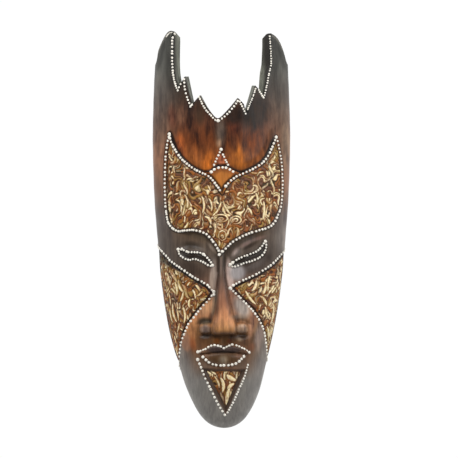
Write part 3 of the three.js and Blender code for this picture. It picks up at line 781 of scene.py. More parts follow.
DOT_ROWS = [
    ([(-60.2, 246), (-61.8, 236.8), (-62, 218.4), (-62, 210), (-61.1, 199.5)], 4.4, 1.4),
    ([(-61.2, 197), (-59.6, 189.2), (-57.5, 180.8), (-54.9, 175)], 3, 1.35),
    ([(-53.3, 178.7), (-50.7, 184), (-48.4, 190.8)], 3.9, 1.25),
    ([(-46.8, 188.6), (-46.4, 180), (-43.3, 166.5), (-38.9, 154.4)], 4.3, 1.35),
    ([(-37.9, 155.9), (-36.6, 157.6)], 2.4, 1.2),
    ([(-28.3, 166.4), (-21.3, 153.1), (-14.9, 145.1), (-8.5, 138.2), (-5.5, 136.4)], 3.1, 1.3),
    ([(-2.7, 136.8), (5, 143), (13.8, 152), (18, 157.8), (20.6, 162)], 4.3, 1.4),
    ([(23, 160.8), (27.1, 152.6), (30.4, 145.6)], 3.7, 1.3),
    ([(32.9, 150.8), (37.5, 161.6), (43, 177)], 2.6, 1.05),
    ([(46.6, 175.6), (52.9, 165.8)], 3, 1.3),
    ([(54.2, 169), (57.7, 184), (59.5, 194), (60.9, 200), (62.2, 206), (62.5, 213), (62.2, 222),
      (61.3, 232), (60.7, 243)], 3.1, 1.1),
    ([(-60.5, 247.4), (-62.4, 248), (-64.9, 247.4), (-67.1, 245.6), (-69.2, 242.8)], 2, 0.85),
    (crest_left_top[2:-3], 4.0, 1.55), (crest_right_top[7:], 4.4, 1.5),
    (crest_right[1:len(crest_right) // 2], 4.7, 1.3), (crest_right[len(crest_right) // 2:-3], 4.5, 1.5),
    (crest_left[3:len(crest_left) // 4], 4.4, 1.55),
    (crest_left[len(crest_left) // 4:2 * (len(crest_left) // 4)], 3.3, 1.45),
    (crest_left[2 * (len(crest_left) // 4):], 4.8, 1.4),
    ([(-12.7, 72.6), (-8, 76), (-3.5, 77.6), (1.5, 78), (6, 77.4), (10.5, 75.3), (14.6, 72.6)], 4.7, 1.65),
    ([(-9.5, 81), (-2, 97)], 4.3, 1.4), ([(8.3, 81), (1.6, 94.4)], 4.2, 1.4),
    (left_cheek_top, 4.3, 1.6), (left_cheek_low, 5, 1.55),
    (right_cheek_top, 4.8, 1.6), (right_cheek_low, 4.5, 1.55),
    (left_eye_top, 3.9, 1.4), (left_eye_low, 3.5, 1.3),
    (right_eye_low, 3.9, 1.3), (right_eye_top[:-2], 3.9, 1.35),
    ([(-29, -153.8), (-20.7, -151.3), (-10.3, -145.5), (-2.6, -146.8), (3.8, -149.4), (7.7, -146.8),
      (14.7, -144.9), (23.1, -148.1), (34, -154.5)], 3.9, 1.7),
    ([(-21.6, -160.3), (-15.4, -166.3), (-8.2, -169.8), (0.5, -170.9), (10.8, -170.3), (18.8, -167.3),
      (26.6, -158.9)], 4.8, 1.8),
    (straight([(-29, -163.5), (-19.4, -188), (-4.5, -219.5), (4.4, -233.6)], 1), 5.0, 1.65),
    (straight([(32.6, -170), (28.2, -186), (15.4, -216.2), (7.7, -230.3)], 1), 3.7, 1.35),
]
BIG_DOTS = [
    (-65.6, 120, 2.1), (68.8, 116, 2), (-2.8, -31.6, 2), (0.9, -27.6, 1.9), (-0.4, 100.6, 2),
    (-12.7, 72.4, 2.1), (-54.8, -24.8, 2), (-50.5, -24.6, 1.8), (-11.4, -45, 2.1), (11.2, -44, 2.1),
    (14.2, -41.8, 2), (55.6, -14.8, 1.9), (-29, -153.8, 2.1), (-29, -163.5, 2.3), (-21.6, -160.3, 2),
    (-4.4, 136.7, 2.1), (-65.6, 115, 1.6), (-9.7, -82, 2.1), (10.8, -73.8, 2.2), (-9.7, -78, 2),
    (15, -70, 2), (5.4, 54.4, 2), (-22.6, -31.2, 2),
]
DOT_LIFT = 0.15
DOT_SIDES = 12
DOT_RINGS = 4
DOT_HEIGHT = 0.46
DOT_SKIRT = 0.9
START_OVER = 20.0  # how far over the bow a dot is let down from


def dot_places(rng):
    """Each dot as (s, y, radius, heading, stretch)."""
    places = []
    for line, pitch, radius in DOT_ROWS:
        if isinstance(line, list):
            line = (straight if len(line) < 4 else run)(line, 1)
        way = flat(line)
        along = np.concatenate([[0], np.cumsum(np.hypot(*np.diff(way, axis=0).T))])
        count = max(2, int(round(along[-1] / pitch)))
        at = (np.arange(count + 1) + rng.uniform(-0.13, 0.13, count + 1)) * along[-1] / count
        s, y = (np.interp(at, along, way[:, k]) for k in (0, 1))
        ahead = [np.interp(at + 1, along, way[:, k]) - np.interp(at - 1, along, way[:, k]) for k in (0, 1)]
        for k in range(count + 1):
            at = s[k] + rng.normal(0, 0.12), y[k] + rng.normal(0, 0.12)
            size = radius * rng.uniform(0.88, 1.1)
            places.append((*at, size, math.atan2(ahead[1][k], ahead[0][k]), rng.uniform(0.97, 1.1)))
    x, y, radii = np.array(BIG_DOTS, float).T
    return [*places, *((s, *dot, 0.0, 1.05) for s, *dot in zip(unroll(x, y), y, radii))]


def dome_shape():
    """The points and faces of a low dome with a skirt."""
    polar = np.linspace(0, 0.5 * math.pi, DOT_RINGS + 1)[1:]
    turn = np.arange(DOT_SIDES) * 2 * math.pi / DOT_SIDES
    dome = [(0, 0, 1)] + [(math.sin(p) * math.cos(a), math.sin(p) * math.sin(a), math.cos(p))
                          for p in polar for a in turn]
    dome += [(x, y, -DOT_SKIRT) for x, y, _ in dome[-DOT_SIDES:]]
    faces = [(0, 1 + k, 1 + (k + 1) % DOT_SIDES) for k in range(DOT_SIDES)]
    return np.array(dome), faces + (1 + loft_faces(DOT_RINGS + 1, DOT_SIDES)[:, [0, 3, 2, 1]]).tolist()


def make_dots(body, material):
    """Low domes that sit on the finished surface."""
    tree = BVHTree.FromPolygons(
        [v.co.copy() for v in body.data.vertices], [tuple(p.vertices) for p in body.data.polygons])
    dome, template = dome_shape()
    points, faces = [], []
    for s, y, radius, heading, stretch in dot_places(np.random.default_rng(7)):
        angle, drop = angle_of(np.array([s]), y)
        base, out = surface(angle, np.array([y]), drop, np.array([START_OVER]))
        out = out[0]
        found, normal, _, _ = tree.ray_cast(Vector(base[0] * MM), Vector(-out), 0.06)
        if found is None:
            continue
        steepness = 1 - float(np.dot(out, normal))
        middle = np.array(found) / MM + (DOT_LIFT + 1.2 * steepness) * out
        out = out + 0.7 * np.array(normal)
        out /= np.linalg.norm(out)
        side = np.cross([0.0, 1.0, 0.0], out)
        side /= np.linalg.norm(side)
        first = side * math.cos(heading) + np.cross(out, side) * math.sin(heading)
        shape = (dome[:, :1] * radius * stretch * first + dome[:, 1:2] * radius * np.cross(out, first)
                 + dome[:, 2:] * (DOT_HEIGHT + 0.8 * steepness) * radius * out)
        faces += [tuple(len(points) * len(dome) + k for k in face) for face in template]
        points.append(middle + shape)
    dots = mesh_object("paint_dots", np.concatenate(points), faces, [material])
    dots.data.shade_smooth()
    return dots


# The stain, with painted light and shade on it: black at the horns and the chin, where a painted sheen turns
# it grey, rubbed back to orange wood over the forehead and the nose

# Colours down the middle and the side, by y: the stain, with its greys at the horns, the chin and the sides
# partly a painted sheen
MIDDLE_STAIN_AND_SHEEN = [
    (-250, (128, 128, 127)), (-190, (122, 121, 119)), (-172, (110, 92, 80)), (-150, (104, 76, 56)),
    (-136, (88, 62, 42)), (-126, (156, 115, 79)), (-112, (172, 122, 88)), (-92, (146, 102, 80)),
    (-70, (116, 90, 78)), (-45, (80, 70, 63)), (-20, (84, 74, 66)), (20, (120, 90, 62)),
    (78, (138, 84, 46)), (92, (126, 74, 40)), (112, (90, 50, 28)), (132, (82, 50, 35)),
    (150, (71, 49, 38)), (175, (62, 52, 45)), (205, (76, 74, 69)), (250, (80, 80, 77)),
]
SIDE_STAIN_AND_SHEEN = [
    (-250, (128, 129, 129)), (-200, (126, 126, 126)), (-150, (126, 121, 118)), (-110, (118, 108, 102)),
    (-60, (88, 81, 76)), (-20, (80, 73, 69)), (15, (90, 83, 81)), (50, (120, 92, 76)), (85, (130, 94, 74)),
    (112, (114, 84, 68)), (135, (94, 76, 67)), (165, (82, 76, 73)), (200, (86, 87, 85)),
    (250, (90, 93, 92)),
]
# Patches of stain, painted shade and painted highlights, as (x, y, reach, reach, turn in degrees, softness,
# amount, colour)
STAIN_LIGHT_AND_SHADE_PATCHES = [
    # a painted reflection down the middle of the forehead, a grey sheen
    (-1, 124, 11, 30, 0, 0.8, 0.85, (78, 71, 67)),
    # rubbed back in flames over the crest
    (-52, 105, 9, 23, 6, 0.8, 0.85, (192, 104, 54)), (-62, 142, 8, 22, 4, 0.8, 0.5, (108, 62, 48)),
    (16, 130, 12, 16, 0, 0.8, 0.5, (96, 46, 30)), (-17, 84, 12, 20, -6, 0.8, 0.9, (178, 100, 42)),
    (23, 92, 15, 24, 8, 0.8, 0.9, (158, 92, 36)), (39, 112, 15, 24, -6, 0.8, 0.8, (108, 54, 14)),
    # darker between the flames
    (-27, 143, 10, 19, 0, 0.8, 0.65, (42, 32, 24)), (40, 150, 26, 30, -8, 0.6, 0.95, (36, 24, 13)),
    (16, 144, 18, 17, 0, 0.7, 0.9, (34, 23, 17)), (-50, 145, 10, 19, 0, 0.8, 0.6, (124, 90, 72)),
    (-2, 108, 7, 8, 0, 0.8, 0.7, (146, 120, 100)), (17, 106, 5, 15, -6, 0.8, 0.7, (76, 42, 22)),
    (-74, 120, 6, 22, 0, 0.8, 0.5, (84, 70, 62)),
    # painted sheen down the right side
    (82, 106, 12, 50, 0, 0.8, 0.7, (128, 112, 96)), (78, -12, 15, 28, 0, 0.8, 0.75, (130, 124, 120)),
    # the small shield under the triangle
    (2, 60, 17, 15, 0, 0.3, 0.9, (176, 112, 54)),
    # the triangle
    (-0.5, 88, 7, 9, 0, 0.5, 0.9, (218, 130, 92)),
    # painted shade in the sockets, darkest under the brows
    (-28, -8, 28, 7, -12, 0.8, 0.7, (80, 72, 62)), (30, -12, 28, 6, 24, 0.8, 0.7, (80, 70, 62)),
    (-37, -20, 16, 7, -8, 0.8, 0.85, (48, 40, 32)),
    # painted highlights on the fold between each brow and its lid, and painted shade between the right fold
    # and its eye
    (-12, -23, 13, 3.5, -52, 0.9, 0.8, (148, 136, 126)),
    (17.5, -28, 10, 4.5, 51, 0.9, 0.9, (154, 140, 136)), (31, -18, 14, 4, 29, 0.8, 0.8, (130, 110, 106)),
    (47, -11, 14, 3.2, 17, 0.9, 0.7, (126, 102, 98)), (37, -20, 15, 3.5, 28, 0.8, 0.7, (48, 38, 30)),
    (54, -36, 13, 10, 24, 0.7, 0.75, (52, 44, 40)),
    # under the eyes
    (-38, -50, 24, 12, -25, 0.7, 0.8, (68, 58, 52)), (44, -46, 22, 11, 22, 0.6, 0.85, (70, 61, 57)),
    # painted sheen in strips beside the nose
    (-10.5, -62, 6, 30, -6, 0.5, 0.9, (164, 149, 140)), (10.5, -57, 6, 26, 6, 0.5, 0.9, (208, 187, 181)),
    (20, -54, 14, 15, 14, 0.6, 0.95, (150, 148, 153)),
    # a painted grey sheen down the left flank of the nose
    (-9, -92, 4, 24, -9, 0.6, 0.65, (134, 134, 124)),
    # a painted highlight down the ridge of the nose, and a warmer spot lower on it
    (-0.5, -46, 1.6, 20, 0, 0.6, 0.8, (124, 108, 100)), (5, -107, 4, 9, 0, 0.8, 0.5, (140, 96, 70)),
    # cheeks beside the nose
    (-19, -96, 14, 19, -16, 0.7, 0.9, (192, 148, 114)), (26, -97, 15, 23, 22, 0.7, 0.95, (150, 145, 144)),
    (-38, -130, 10, 24, 12, 0.9, 0.85, (192, 134, 90)), (-44, -142, 8, 14, 10, 0.4, 0.75, (160, 118, 94)),
    (38, -120, 6, 26, -10, 0.8, 0.9, (190, 142, 114)), (47, -134, 8, 26, -10, 0.8, 0.8, (146, 132, 128)),
    # painted shade over the wings of the nose
    (-20.5, -115.5, 12, 7, 0, 0.8, 0.85, (96, 90, 78)), (22, -110, 14, 5, 0, 0.8, 0.6, (118, 112, 106)),
    # the wings, the right one lighter with a painted highlight on it
    (-20, -125.5, 10, 7, 0, 0.6, 0.9, (124, 108, 101)), (25, -125, 11, 7, 0, 0.6, 0.8, (164, 142, 124)),
    (27, -121, 7, 4, 0, 0.9, 0.9, (222, 190, 164)),
    # under the nose
    (2, -140, 30, 7, 0, 0.7, 0.85, (100, 74, 50)), (-5.5, -140, 7, 5, 10, 0.8, 0.8, (118, 70, 32)),
    (10, -140, 5, 4, 20, 0.8, 0.6, (96, 46, 26)), (23, -138, 6, 4, -20, 0.9, 0.7, (164, 148, 128)),
    # beside the mouth
    (-36, -144, 6, 14, 10, 0.8, 0.6, (150, 82, 46)), (38, -148, 7, 9, -20, 0.8, 0.6, (118, 76, 56)),
    # upper lip
    (3, -151, 28, 6, 0, 0.4, 0.9, (68, 58, 57)),
    # lower lip, with a painted glint in its middle
    (3, -162, 26, 9, 0, 0.5, 0.9, (82, 62, 44)), (2.5, -164, 9, 9, 0, 0.9, 0.85, (144, 133, 118)),
    (21, -159, 6, 5, 10, 0.9, 0.5, (130, 96, 84)),
    # under the lip
    (3, -176, 27, 6, 0, 0.6, 0.9, (134, 102, 82)),
]


def stations_colour(stations, y):
    at, colours = zip(*stations)
    return np.stack([np.interp(y, at, channel) for channel in zip(*colours)], axis=1)


def linear(colour):
    return (np.asarray(colour, float) / 255) ** 2.2


def unroll_many(y, z, angle):
    """s for points that lie on the front or the side bands."""
    table_y = np.linspace(CHIN_END, PAST_HORNS, 1013)
    row = (y - CHIN_END) / (table_y[1] - table_y[0])
    along = between(arcs(table_y), row, abs(angle) / ANGLES[1])
    return np.sign(angle) * (along + np.maximum(0, RIM_BAND - z))


def paint(points):
    """The colour at points of the wood, stained and with painted light and shade on it, how strongly fibres
    show, and how far a point lies under the top edge of a cut wall, which sets the painted shade there.
    """
    x, y, z = points.T
    h = rise(y)
    angle = np.arctan2((x - shift(y)) / np.maximum(half_width(y), 1), (z - RIM_BAND) / h)
    angle = np.clip(angle, -0.5 * math.pi, 0.5 * math.pi)
    share = abs(np.sin(angle))
    s = unroll_many(y, z, angle)

    def tinted(colour, tint, amount):
        return mix(colour, np.array(tint, float), amount[:, None])

    middle, side = stations_colour(MIDDLE_STAIN_AND_SHEEN, y), stations_colour(SIDE_STAIN_AND_SHEEN, y)
    # the tilted sides take the side colours, whose greys are partly a painted sheen
    colour = mix(middle, side, ramp(share, 0.5, 0.4)[:, None])
    colour = tinted(colour, (104, 84, 72), 0.8 * ramp(depth_in("chin", s, y), -0.6, 1))
    for patch_x, patch_y, long, wide, turn, softness, amount, tint in STAIN_LIGHT_AND_SHADE_PATCHES:
        away = np.hypot(*in_oval(x, y, (patch_x, patch_y), (long, wide), turn))
        colour = tinted(colour, tint, amount * smooth((1 - away) / softness))
    edge = -depth_in("skyline", s, y)
    # a painted highlight along the outer edges of the horns near their tips
    colour = tinted(colour, (168, 168, 160), 0.7 * bell(edge, 2, 1.1) * ramp(y, 216, 14) * (abs(x) > 63.5))

    in_crest = depth_in("crest", s, y)
    above = (y > crest_top(x)) & (y < 132) & (abs(x) < 66)
    from_edge = np.full(len(x), OUT_OF_REACH)
    from_edge[above] = distance(s[above], y[above], FLAT_EDGE, False)
    # painted shade in a band just above the crest's top edge, where the forehead steps down to it
    dark = 1 - 0.75 * ramp(from_edge, 4.6, -2.6) - 0.12 * ramp(from_edge, 9, -5)
    xl = x - lean(y)
    aside = abs(xl) / nose_half_width(y)
    crest_gap = ramp(in_crest, 0.2, -1)
    lit = np.where(x > 0, ramp(y, -40, 20), ramp(y, 130, 30)) * ramp(share, 0.88, 0.08)
    shades = [
        # painted shade around the crest panel, deeper in the groove beside the small shield
        0.5 * ramp(in_crest, -3.4, 1.5) * crest_gap * ~above,
        0.6 * ramp(in_crest, -4.6, 1.2) * crest_gap * (y > 46) * (y < 76) * ramp(abs(x), 20, -3),
        # along the teeth
        np.where((x > -46) & (x < -4), 0.18, 0.4) * ramp(edge, 4.2, -2) * (edge > -1) * (abs(x) < 63.5),
        # painted light on the tilted sides, and on the horns painted shade near their edges with painted
        # light farther in
        -0.15 * lit,
        ramp(y, 160, 30) * (0.3 * ramp(edge, 15.5, -7) - 0.1 * ramp(edge, 15, 7)),
        # painted shade on the flanks of the nose, around its wings and in the nostrils, and a painted shadow
        # under it
        0.32 * ramp(aside, 0.4, 0.2) * ramp(aside, 1.2, -0.14) * ramp(y, -118, 14) * ramp(y, -26, -10),
        0.45 * bell(wing_round(xl, y), 1.28, 0.5) * around_wing(xl, y),
        0.27 * np.exp(-((abs(xl) - 23.5) / 7) ** 4 - ((y + 132.6) / 3.6) ** 2),
        0.42 * bell(y, 1.2 * np.cos(xl / 9) - 133, 3) * ramp(abs(xl), 30, -5),
        # painted shade between the lips
        0.3 * bell(y, parting(xl), 1.3) * ramp(abs(xl), 33, -5),
    ]
    # painted shade inside the sunk edges of the cheek and chin panels
    for name, amount, inner in (("left_cheek", 0.72, 5), ("right_cheek", 0.72, 5), ("chin", 0.42, 7)):
        inside = depth_in(name, s, y)
        shades.append(amount * ramp(inside, 0.2, 1.2) * ramp(inside, inner + 9, -3))
    # painted shade in the eye slits and in a band around them
    for eye in ("left_eye", "right_eye"):
        inside = depth_in(eye, s, y)
        shades += [0.52 * ramp(inside, -0.3, 1.2), 0.3 * ramp(inside, -3, 1.5) * ramp(inside, 1.2, -1)]
    for shade in shades:
        dark *= 1 - shade

    fibres = 0.25 + 0.6 * ramp(y, 60, 30) * ramp(y, 185, -50) * (1 - 0.6 * ramp(share, 0.7, 0.3))
    fibres += 0.4 * bell(y, -116, 26) * (share < 0.7) - 0.1 * ramp(y, -165, -15)
    # painted shade on the cut walls: dark at their top edge, over a deeper band on the right horn, and the
    # left walls a little darker overall
    shadow = np.where(x > 50, 0.5 + 3 * ramp(y, 180, 42), 0.5)
    wall = smooth((RIM_BAND + h * np.cos(angle) - z - shadow) / 3.5) * np.where(x > 0, 0.82, 0.74)
    return linear(colour) * dark[:, None] ** 1.6, fibres, wall


# Materials

WHITE = (1, 1, 1, 1)


def rgb(colour):
    return (*linear(colour), 1)


class Nodes:
    """The node tree of a material or world."""

    def __init__(self, holder):
        holder.use_nodes = True
        self.tree = holder.node_tree

    def set(self, socket, value):
        if isinstance(value, bpy.types.NodeSocket):
            self.tree.links.new(value, socket)
        else:
            socket.default_value = value

    def node(self, kind, inputs, output=0, **settings):
        """One of the outputs of a new node."""
        node = self.tree.nodes.new("ShaderNode" + kind)
        for key, value in settings.items():
            setattr(node, key, value)
        for key, value in inputs.items():
            self.set(node.inputs[key], value)
        return node.outputs[output]


class Shader(Nodes):
    """A material's nodes around one Principled shader."""

    def __init__(self, name, **settings):
        self.material = bpy.data.materials.new(name)
        super().__init__(self.material)
        self.surface = self.tree.nodes["Principled BSDF"].inputs
        for key, value in settings.items():
            self.surface[key.replace("_", " ").title().replace("Ior", "IOR")].default_value = value
        self.places = self.node("TexCoord", {}, "Object")

    def texture(self, kind, scale, inputs, output, **settings):
        place = self.node("Mapping", {"Scale": scale, "Vector": self.places})
        return self.node(kind, {"Scale": 1, **inputs, "Vector": place}, output, **settings)

    def noise(self, scale, detail=3, roughness=0.55):
        return self.texture("TexNoise", scale, {"Detail": detail, "Roughness": roughness}, "Fac")

    def value(self, name, output="Fac"):
        return self.node("Attribute", {}, output, attribute_name=name)

    def math(self, operation, a, b=0.0, clamp=False):
        return self.node("Math", {0: a, 1: b}, operation=operation, use_clamp=clamp)

    def mix(self, amount, a, b, how="MIX"):
        return self.node("Mix", {0: amount, 6: a, 7: b}, 2, data_type="RGBA", blend_type=how)

    def times(self, a, b):
        return self.mix(1.0, a, b, "MULTIPLY")

    def range(self, value, low, high, to_low=0, to_high=1):
        return self.node("MapRange", dict(enumerate((value, low, high, to_low, to_high))))

    def blend(self, value, low, high, first, second):
        """From one colour to another while a value goes from low to high."""
        return self.mix(self.range(value, low, high), rgb(first), rgb(second))

    def finish(self, colour, texture, smoothest, roughest, height, strength, distance):
        """Sets the colour, a roughness that follows a texture, and a bump."""
        bump = self.node("Bump", {"Strength": strength, "Distance": distance, "Height": height})
        rough = self.range(texture, 0.3, 0.7, smoothest, roughest)
        for name, value in (("Base Color", colour), ("Roughness", rough), ("Normal", bump)):
            self.set(self.surface[name], value)
        return self.material


def stained_wood():
    shader = Shader("stained_wood", specular_ior_level=0.17, coat_weight=0.07, coat_roughness=0.2)
    streak, blotch = shader.noise((150, 26, 60), 5, 0.66), shader.noise((70, 30, 50))
    fine, lines = shader.noise((1500, 50, 300), 2), shader.noise((420, 14, 160))
    shade = shader.math("ADD", shader.math("SUBTRACT", streak, 0.5), shader.math("SUBTRACT", blotch, 0.5))
    shade = shader.math("MULTIPLY", shader.math("MULTIPLY", shade, 3.0), shader.value("fibres"))
    shade = shader.math("ADD", shade, 0.5, clamp=True)
    tint = shader.mix(shade, (0.30, 0.27, 0.30, 1), (1.75, 1.64, 1.44, 1))
    # the stain, with painted light and shade in it
    colour = shader.times(shader.value("stain_light_and_shade", "Color"), tint)
    colour = shader.times(colour, shader.range(fine, 0.3, 0.7, 0.86, 1.14))
    colour = shader.times(colour, shader.range(lines, 0.3, 0.7, 0.87, 1.13))
    height = shader.math("ADD", fine, shader.math("MULTIPLY", streak, 1.5))
    return shader.finish(colour, fine, 0.34, 0.5, height, 0.25, 0.0003)


def cut_wood():
    shader = Shader("cut_wood", specular_ior_level=0.35)
    along, pores = shader.noise((260, 18, 260)), shader.noise((1400, 90, 1400), 2)
    colour = shader.blend(along, 0.35, 0.65, (82, 83, 75), (140, 141, 126))
    colour = shader.times(colour, shader.range(pores, 0.3, 0.7, 0.85, 1.15))
    # painted shade: dark toward the top edge of a cut wall
    colour = shader.mix(shader.value("wall"), rgb((36, 32, 26)), colour)
    return shader.finish(colour, pores, 0.5, 0.68, along, 0.3, 0.0005)


def back_wood():
    """The plainer back: brown wash over gouge marks."""
    shader = Shader("back_wood", specular_ior_level=0.3)
    gouges = shader.texture("TexVoronoi", (110, 30, 110), {}, "Distance", feature="SMOOTH_F1")
    grain = shader.noise((420, 14, 420), 4, 0.6)
    colour = shader.blend(grain, 0.35, 0.65, (84, 58, 38), (132, 98, 66))
    colour = shader.times(colour, shader.range(gouges, 0, 0.9, 0.78, 1.12))
    height = shader.math("ADD", gouges, shader.math("MULTIPLY", grain, 0.4))
    return shader.finish(colour, grain, 0.62, 0.78, height, 0.5, 0.0012)


def gilt_relief():
    """Brown recesses and slopes under gold that is worn off in patches."""
    shader = Shader("gilt_relief", specular_ior_level=0.3, coat_weight=0.05, coat_roughness=0.25)
    patches, clusters = shader.noise((75, 60, 75), 2), shader.noise((120, 95, 120), 2)
    worn, fine = shader.noise((210, 170, 210), 2), shader.noise((900, 500, 900))
    recess = shader.blend(patches, 0.42, 0.58, (60, 48, 20), (74, 38, 22))
    tone = shader.math("ADD", shader.value("tone"), shader.range(patches, 0.35, 0.65, -0.3, 0.3))
    slopes = shader.blend(tone, 0.1, 0.45, (104, 66, 46), (152, 86, 34))
    slopes = shader.mix(shader.range(tone, 0.5, 0.95), slopes, rgb((158, 124, 62)))
    colour = shader.mix(shader.range(shader.value("tall"), 0.05, 0.55), recess, slopes)
    gold = shader.blend(fine, 0.35, 0.65, (240, 208, 140), (255, 244, 208))
    worn, clusters = shader.range(worn, 0.36, 0.56, 0.55, 1.3), shader.range(clusters, 0.38, 0.6, 0.62, 1.2)
    gilt = shader.math("MULTIPLY", shader.value("gilt"), shader.math("MULTIPLY", worn, clusters))
    colour = shader.mix(shader.range(gilt, 0.1, 0.8), colour, gold)
    # painted shade where a panel sinks under the wood
    colour = shader.times(colour, shader.mix(shader.value("rim"), WHITE, (0.5, 0.4, 0.33, 1)))
    # painted shadow under the cheek panels' top edges
    colour = shader.times(colour, shader.mix(shader.value("shade"), WHITE, (0.12, 0.13, 0.13, 1)))
    return shader.finish(colour, fine, 0.36, 0.54, fine, 0.25, 0.0003)


def dot_paint():
    shader = Shader("dot_paint", specular_ior_level=0.5)
    fine = shader.noise((700, 700, 700), 2)
    colour = shader.blend(fine, 0.3, 0.7, (232, 224, 206), (254, 250, 240))
    return shader.finish(colour, fine, 0.32, 0.45, fine, 0.1, 0.0002)


# The object

body = make_body([stained_wood(), cut_wood(), back_wood()])
vertices = np.empty(len(body.data.vertices) * 3)
body.data.vertices.foreach_get("co", vertices)
# the colour is the stain with painted light and shade on it
stain_light_and_shade, fibres, wall = paint(vertices.reshape(-1, 3) / MM)
stain_light_and_shade = np.concatenate([stain_light_and_shade, np.ones((len(stain_light_and_shade), 1))], axis=1).astype(np.float32)
body.data.attributes.new("stain_light_and_shade", "FLOAT_COLOR", "POINT").data.foreach_set("color", stain_light_and_shade.ravel())
add_values(body, fibres=fibres, wall=wall)

# Strokes that are given one by one: rings as (s, y, across, tall, width), reeds as (s, y, s, y, bend, width)
crest_figures = [ring(*mark) for mark in [
    (-0.8, 13.8, 8.6, 4.6, 1.15), (-0.8, 12.8, 3.6, 1.7, 0.9), (18.6, 11.6, 6.6, 4.8, 1.1),
    (18.6, 11.6, 2.4, 1.8, 1.0), (1.4, -8, 4.8, 6, 1.05), (1.4, -9.4, 1.3, 2.2, 0.9),
]] + [reed(*mark) for mark in [
    (0.6, 8, 1, 0, 0.05, 0.9), (2.6, 37, 15, 17, -0.12, 1.2), (-0.5, 36, -12, 16, 0.12, 1.2),
    (0, 33, -3, 23, -0.05, 1.1), (-25, 42, -24, 20, 0.13, 1.5), (-17, 40, -13, 22, 0.16, 1.2),
    (55, 36, 54, 11, 0.06, 1.3), (-21, 16, -13, 6, 0.2, 1.9), (-2, 50, 10, 48, -0.15, 1.4),
    (33, 27, 39, 17, 0.15, 1.4), (62, 30, 58, 14, -0.08, 0.9), (44, 46, 46, 32, 0.12, 1.1),
    (-48, 44, -44, 26, 0.15, 1.3),
]]
chin_figures = [reed(*mark) for mark in [
    (-11, -184, -5, -200, 0.1, 1.1), (-3, -186, -1.2, -206, 0.14, 2.3), (5.5, -183, 17, -190, -0.1, 3.5),
    (4, -178, 3, -190, -0.1, 1.2), (15, -194, 7, -205, -0.2, 2.7), (8.4, -200, 4.6, -224, -0.07, 3.0),
    (-14, -180, -8, -183, 0.1, 1.2), (10, -203, 8, -214, 0.1, 1.4),
]]
# Reeds on the cheeks, with x for s
left_cheek_figures = [reed_on_front(*mark) for mark in [
    (-55, -63, -47, -80, -0.15, 1.8), (-49, -79, -53, -91, 0.12, 2.0), (-62, -92, -57, -117, -0.12, 2.4),
    (-40, -88, -40, -99, -0.15, 1.7), (-49, -98, -48, -119, 0.12, 1.9), (-54, -118, -57, -130, 0.1, 1.9),
    (-61, -134, -58, -145, 0.1, 1.4), (-70, -55, -67, -72, 0.14, 1.4), (-68, -80, -65, -98, 0.1, 1.3),
    (-33, -70, -27, -79, 0.1, 1.5), (-24, -77, -31, -84, 0.1, 1.3), (-37, -76, -33, -88, 0.12, 1.5),
    (-60, -66, -57, -84, 0.12, 1.9), (-66, -98, -62, -118, -0.1, 1.8), (-58, -100, -55, -116, 0.1, 1.7),
]]
right_cheek_figures = [reed_on_front(*mark) for mark in [
    (63, -58, 60, -79, -0.1, 1.6), (56, -66, 53, -82, 0.14, 1.8), (45, -64, 39, -78, 0.12, 2.0),
    (31, -77, 45, -95, -0.08, 1.9), (49, -84, 58, -97, 0.14, 2.1), (67, -93, 63, -120, 0.1, 2.0),
    (57, -97, 61, -113, -0.12, 1.8), (59, -122, 60, -143, 0.08, 1.6),
]]

gilt, draws = gilt_relief(), np.random.default_rng(23)
patches = [make_patch(draws, gilt, *panel) for panel in [
    # name, outline, floor, margin, pitch, tilt, share of curls, way to the side where the gold is dimmed as
    # painted shade, line under which shadow is painted, figures
    ("crest_relief", "crest", CREST_DEPTH, 2.2, 14.5, -0.1, 0.32, (0, 7), None, crest_figures),
    ("cheek_relief_left", "left_cheek", CHEEK_DEPTH, 3.6, 14, 0.2, 0.1, (-5, 6),
     (left_cheek_top, 0.0036, 0.02), left_cheek_figures),
    ("cheek_relief_right", "right_cheek", CHEEK_DEPTH, 3.6, 14, -0.2, 0.1, (4, 5),
     (right_cheek_top, 0.0014, 0.34), right_cheek_figures),
    ("chin_relief", "chin", CHIN_DEPTH, 3.3, 16, -0.3, 0.05, (-3.5, 0), None, chin_figures),
]]
dots = make_dots(body, dot_paint())

slots = [(body, "stained_wood"), *[(patch, "gilt_relief") for patch in patches], (dots, "dot_paint")]
for piece, slot in slots:
    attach(piece, "root")
    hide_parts("mask")


# The stage: a white floor, a studio that is brightest low down, and two soft lights

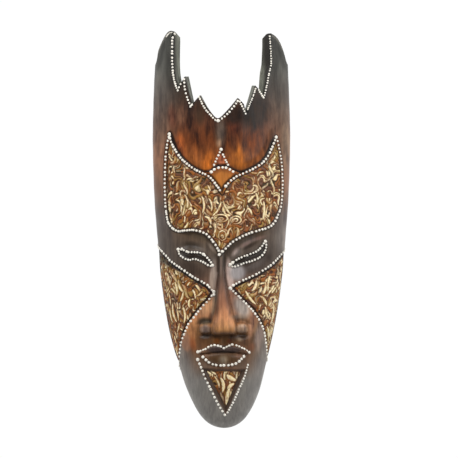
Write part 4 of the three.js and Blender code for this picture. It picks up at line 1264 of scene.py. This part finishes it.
FLOOR_REACH = 4000
FLOOR_GLOW = 1.02
KEY = (-0.7, 1.35, 1.6), (1.2, 0.8), 29  # place, size, power
FILL = (1.1, 0.4, 1.4), (0.8, 1.2), 14
CAMERA_HEIGHT = 20
CAMERA_X, CAMERA_Y = 0.0095, 0.0006
VIEW_WIDTH = 0.577
SENSOR = 36


def make_floor():
    corners = [(x * FLOOR_REACH, y * FLOOR_REACH, 0) for x, y in ((-1, -1), (1, -1), (1, 1), (-1, 1))]
    material = bpy.data.materials.new("floor_white")
    nodes = Nodes(material)
    glow = nodes.node("Emission", {"Color": WHITE, "Strength": FLOOR_GLOW})
    nodes.set(nodes.tree.nodes["Material Output"].inputs["Surface"], glow)
    floor = mesh_object("floor", corners, [(0, 1, 2, 3)], [material])


def make_studio():
    world = bpy.data.worlds.new("studio")
    bpy.context.scene.world = world
    nodes = Nodes(world)
    height = nodes.node("SeparateXYZ", {0: nodes.node("TexCoord", {}, "Generated")}, "Z")
    sky = nodes.node("ValToRGB", {0: height})
    low, high = sky.node.color_ramp.elements
    low.position, low.color = 0.22, (0.85, 0.86, 0.88, 1)
    high.position, high.color = 0.8, (0.06, 0.06, 0.065, 1)
    nodes.set(nodes.tree.nodes["Background"].inputs["Color"], sky)


def place(name, data, location):
    made = bpy.data.objects.new(name, data)
    made.location = location
    bpy.context.scene.collection.objects.link(made)
    return made


def soft_light(name, location, size, power):
    data = bpy.data.lights.new(name, "AREA")
    data.shape = "RECTANGLE"
    data.size, data.size_y = size
    data.energy = power
    place(name, data, location).rotation_euler = (-Vector(location)).to_track_quat("-Z", "Y").to_euler()


make_floor()
make_studio()
soft_light("key", *KEY)
soft_light("fill", *FILL)

camera_data = bpy.data.cameras.new("camera")
camera_data.sensor_width = SENSOR
camera_data.lens = SENSOR * CAMERA_HEIGHT / VIEW_WIDTH
camera_data.clip_end = 60
bpy.context.scene.camera = place("camera", camera_data, (CAMERA_X, CAMERA_Y, CAMERA_HEIGHT))
bpy.context.scene.view_settings.view_transform = "Standard"
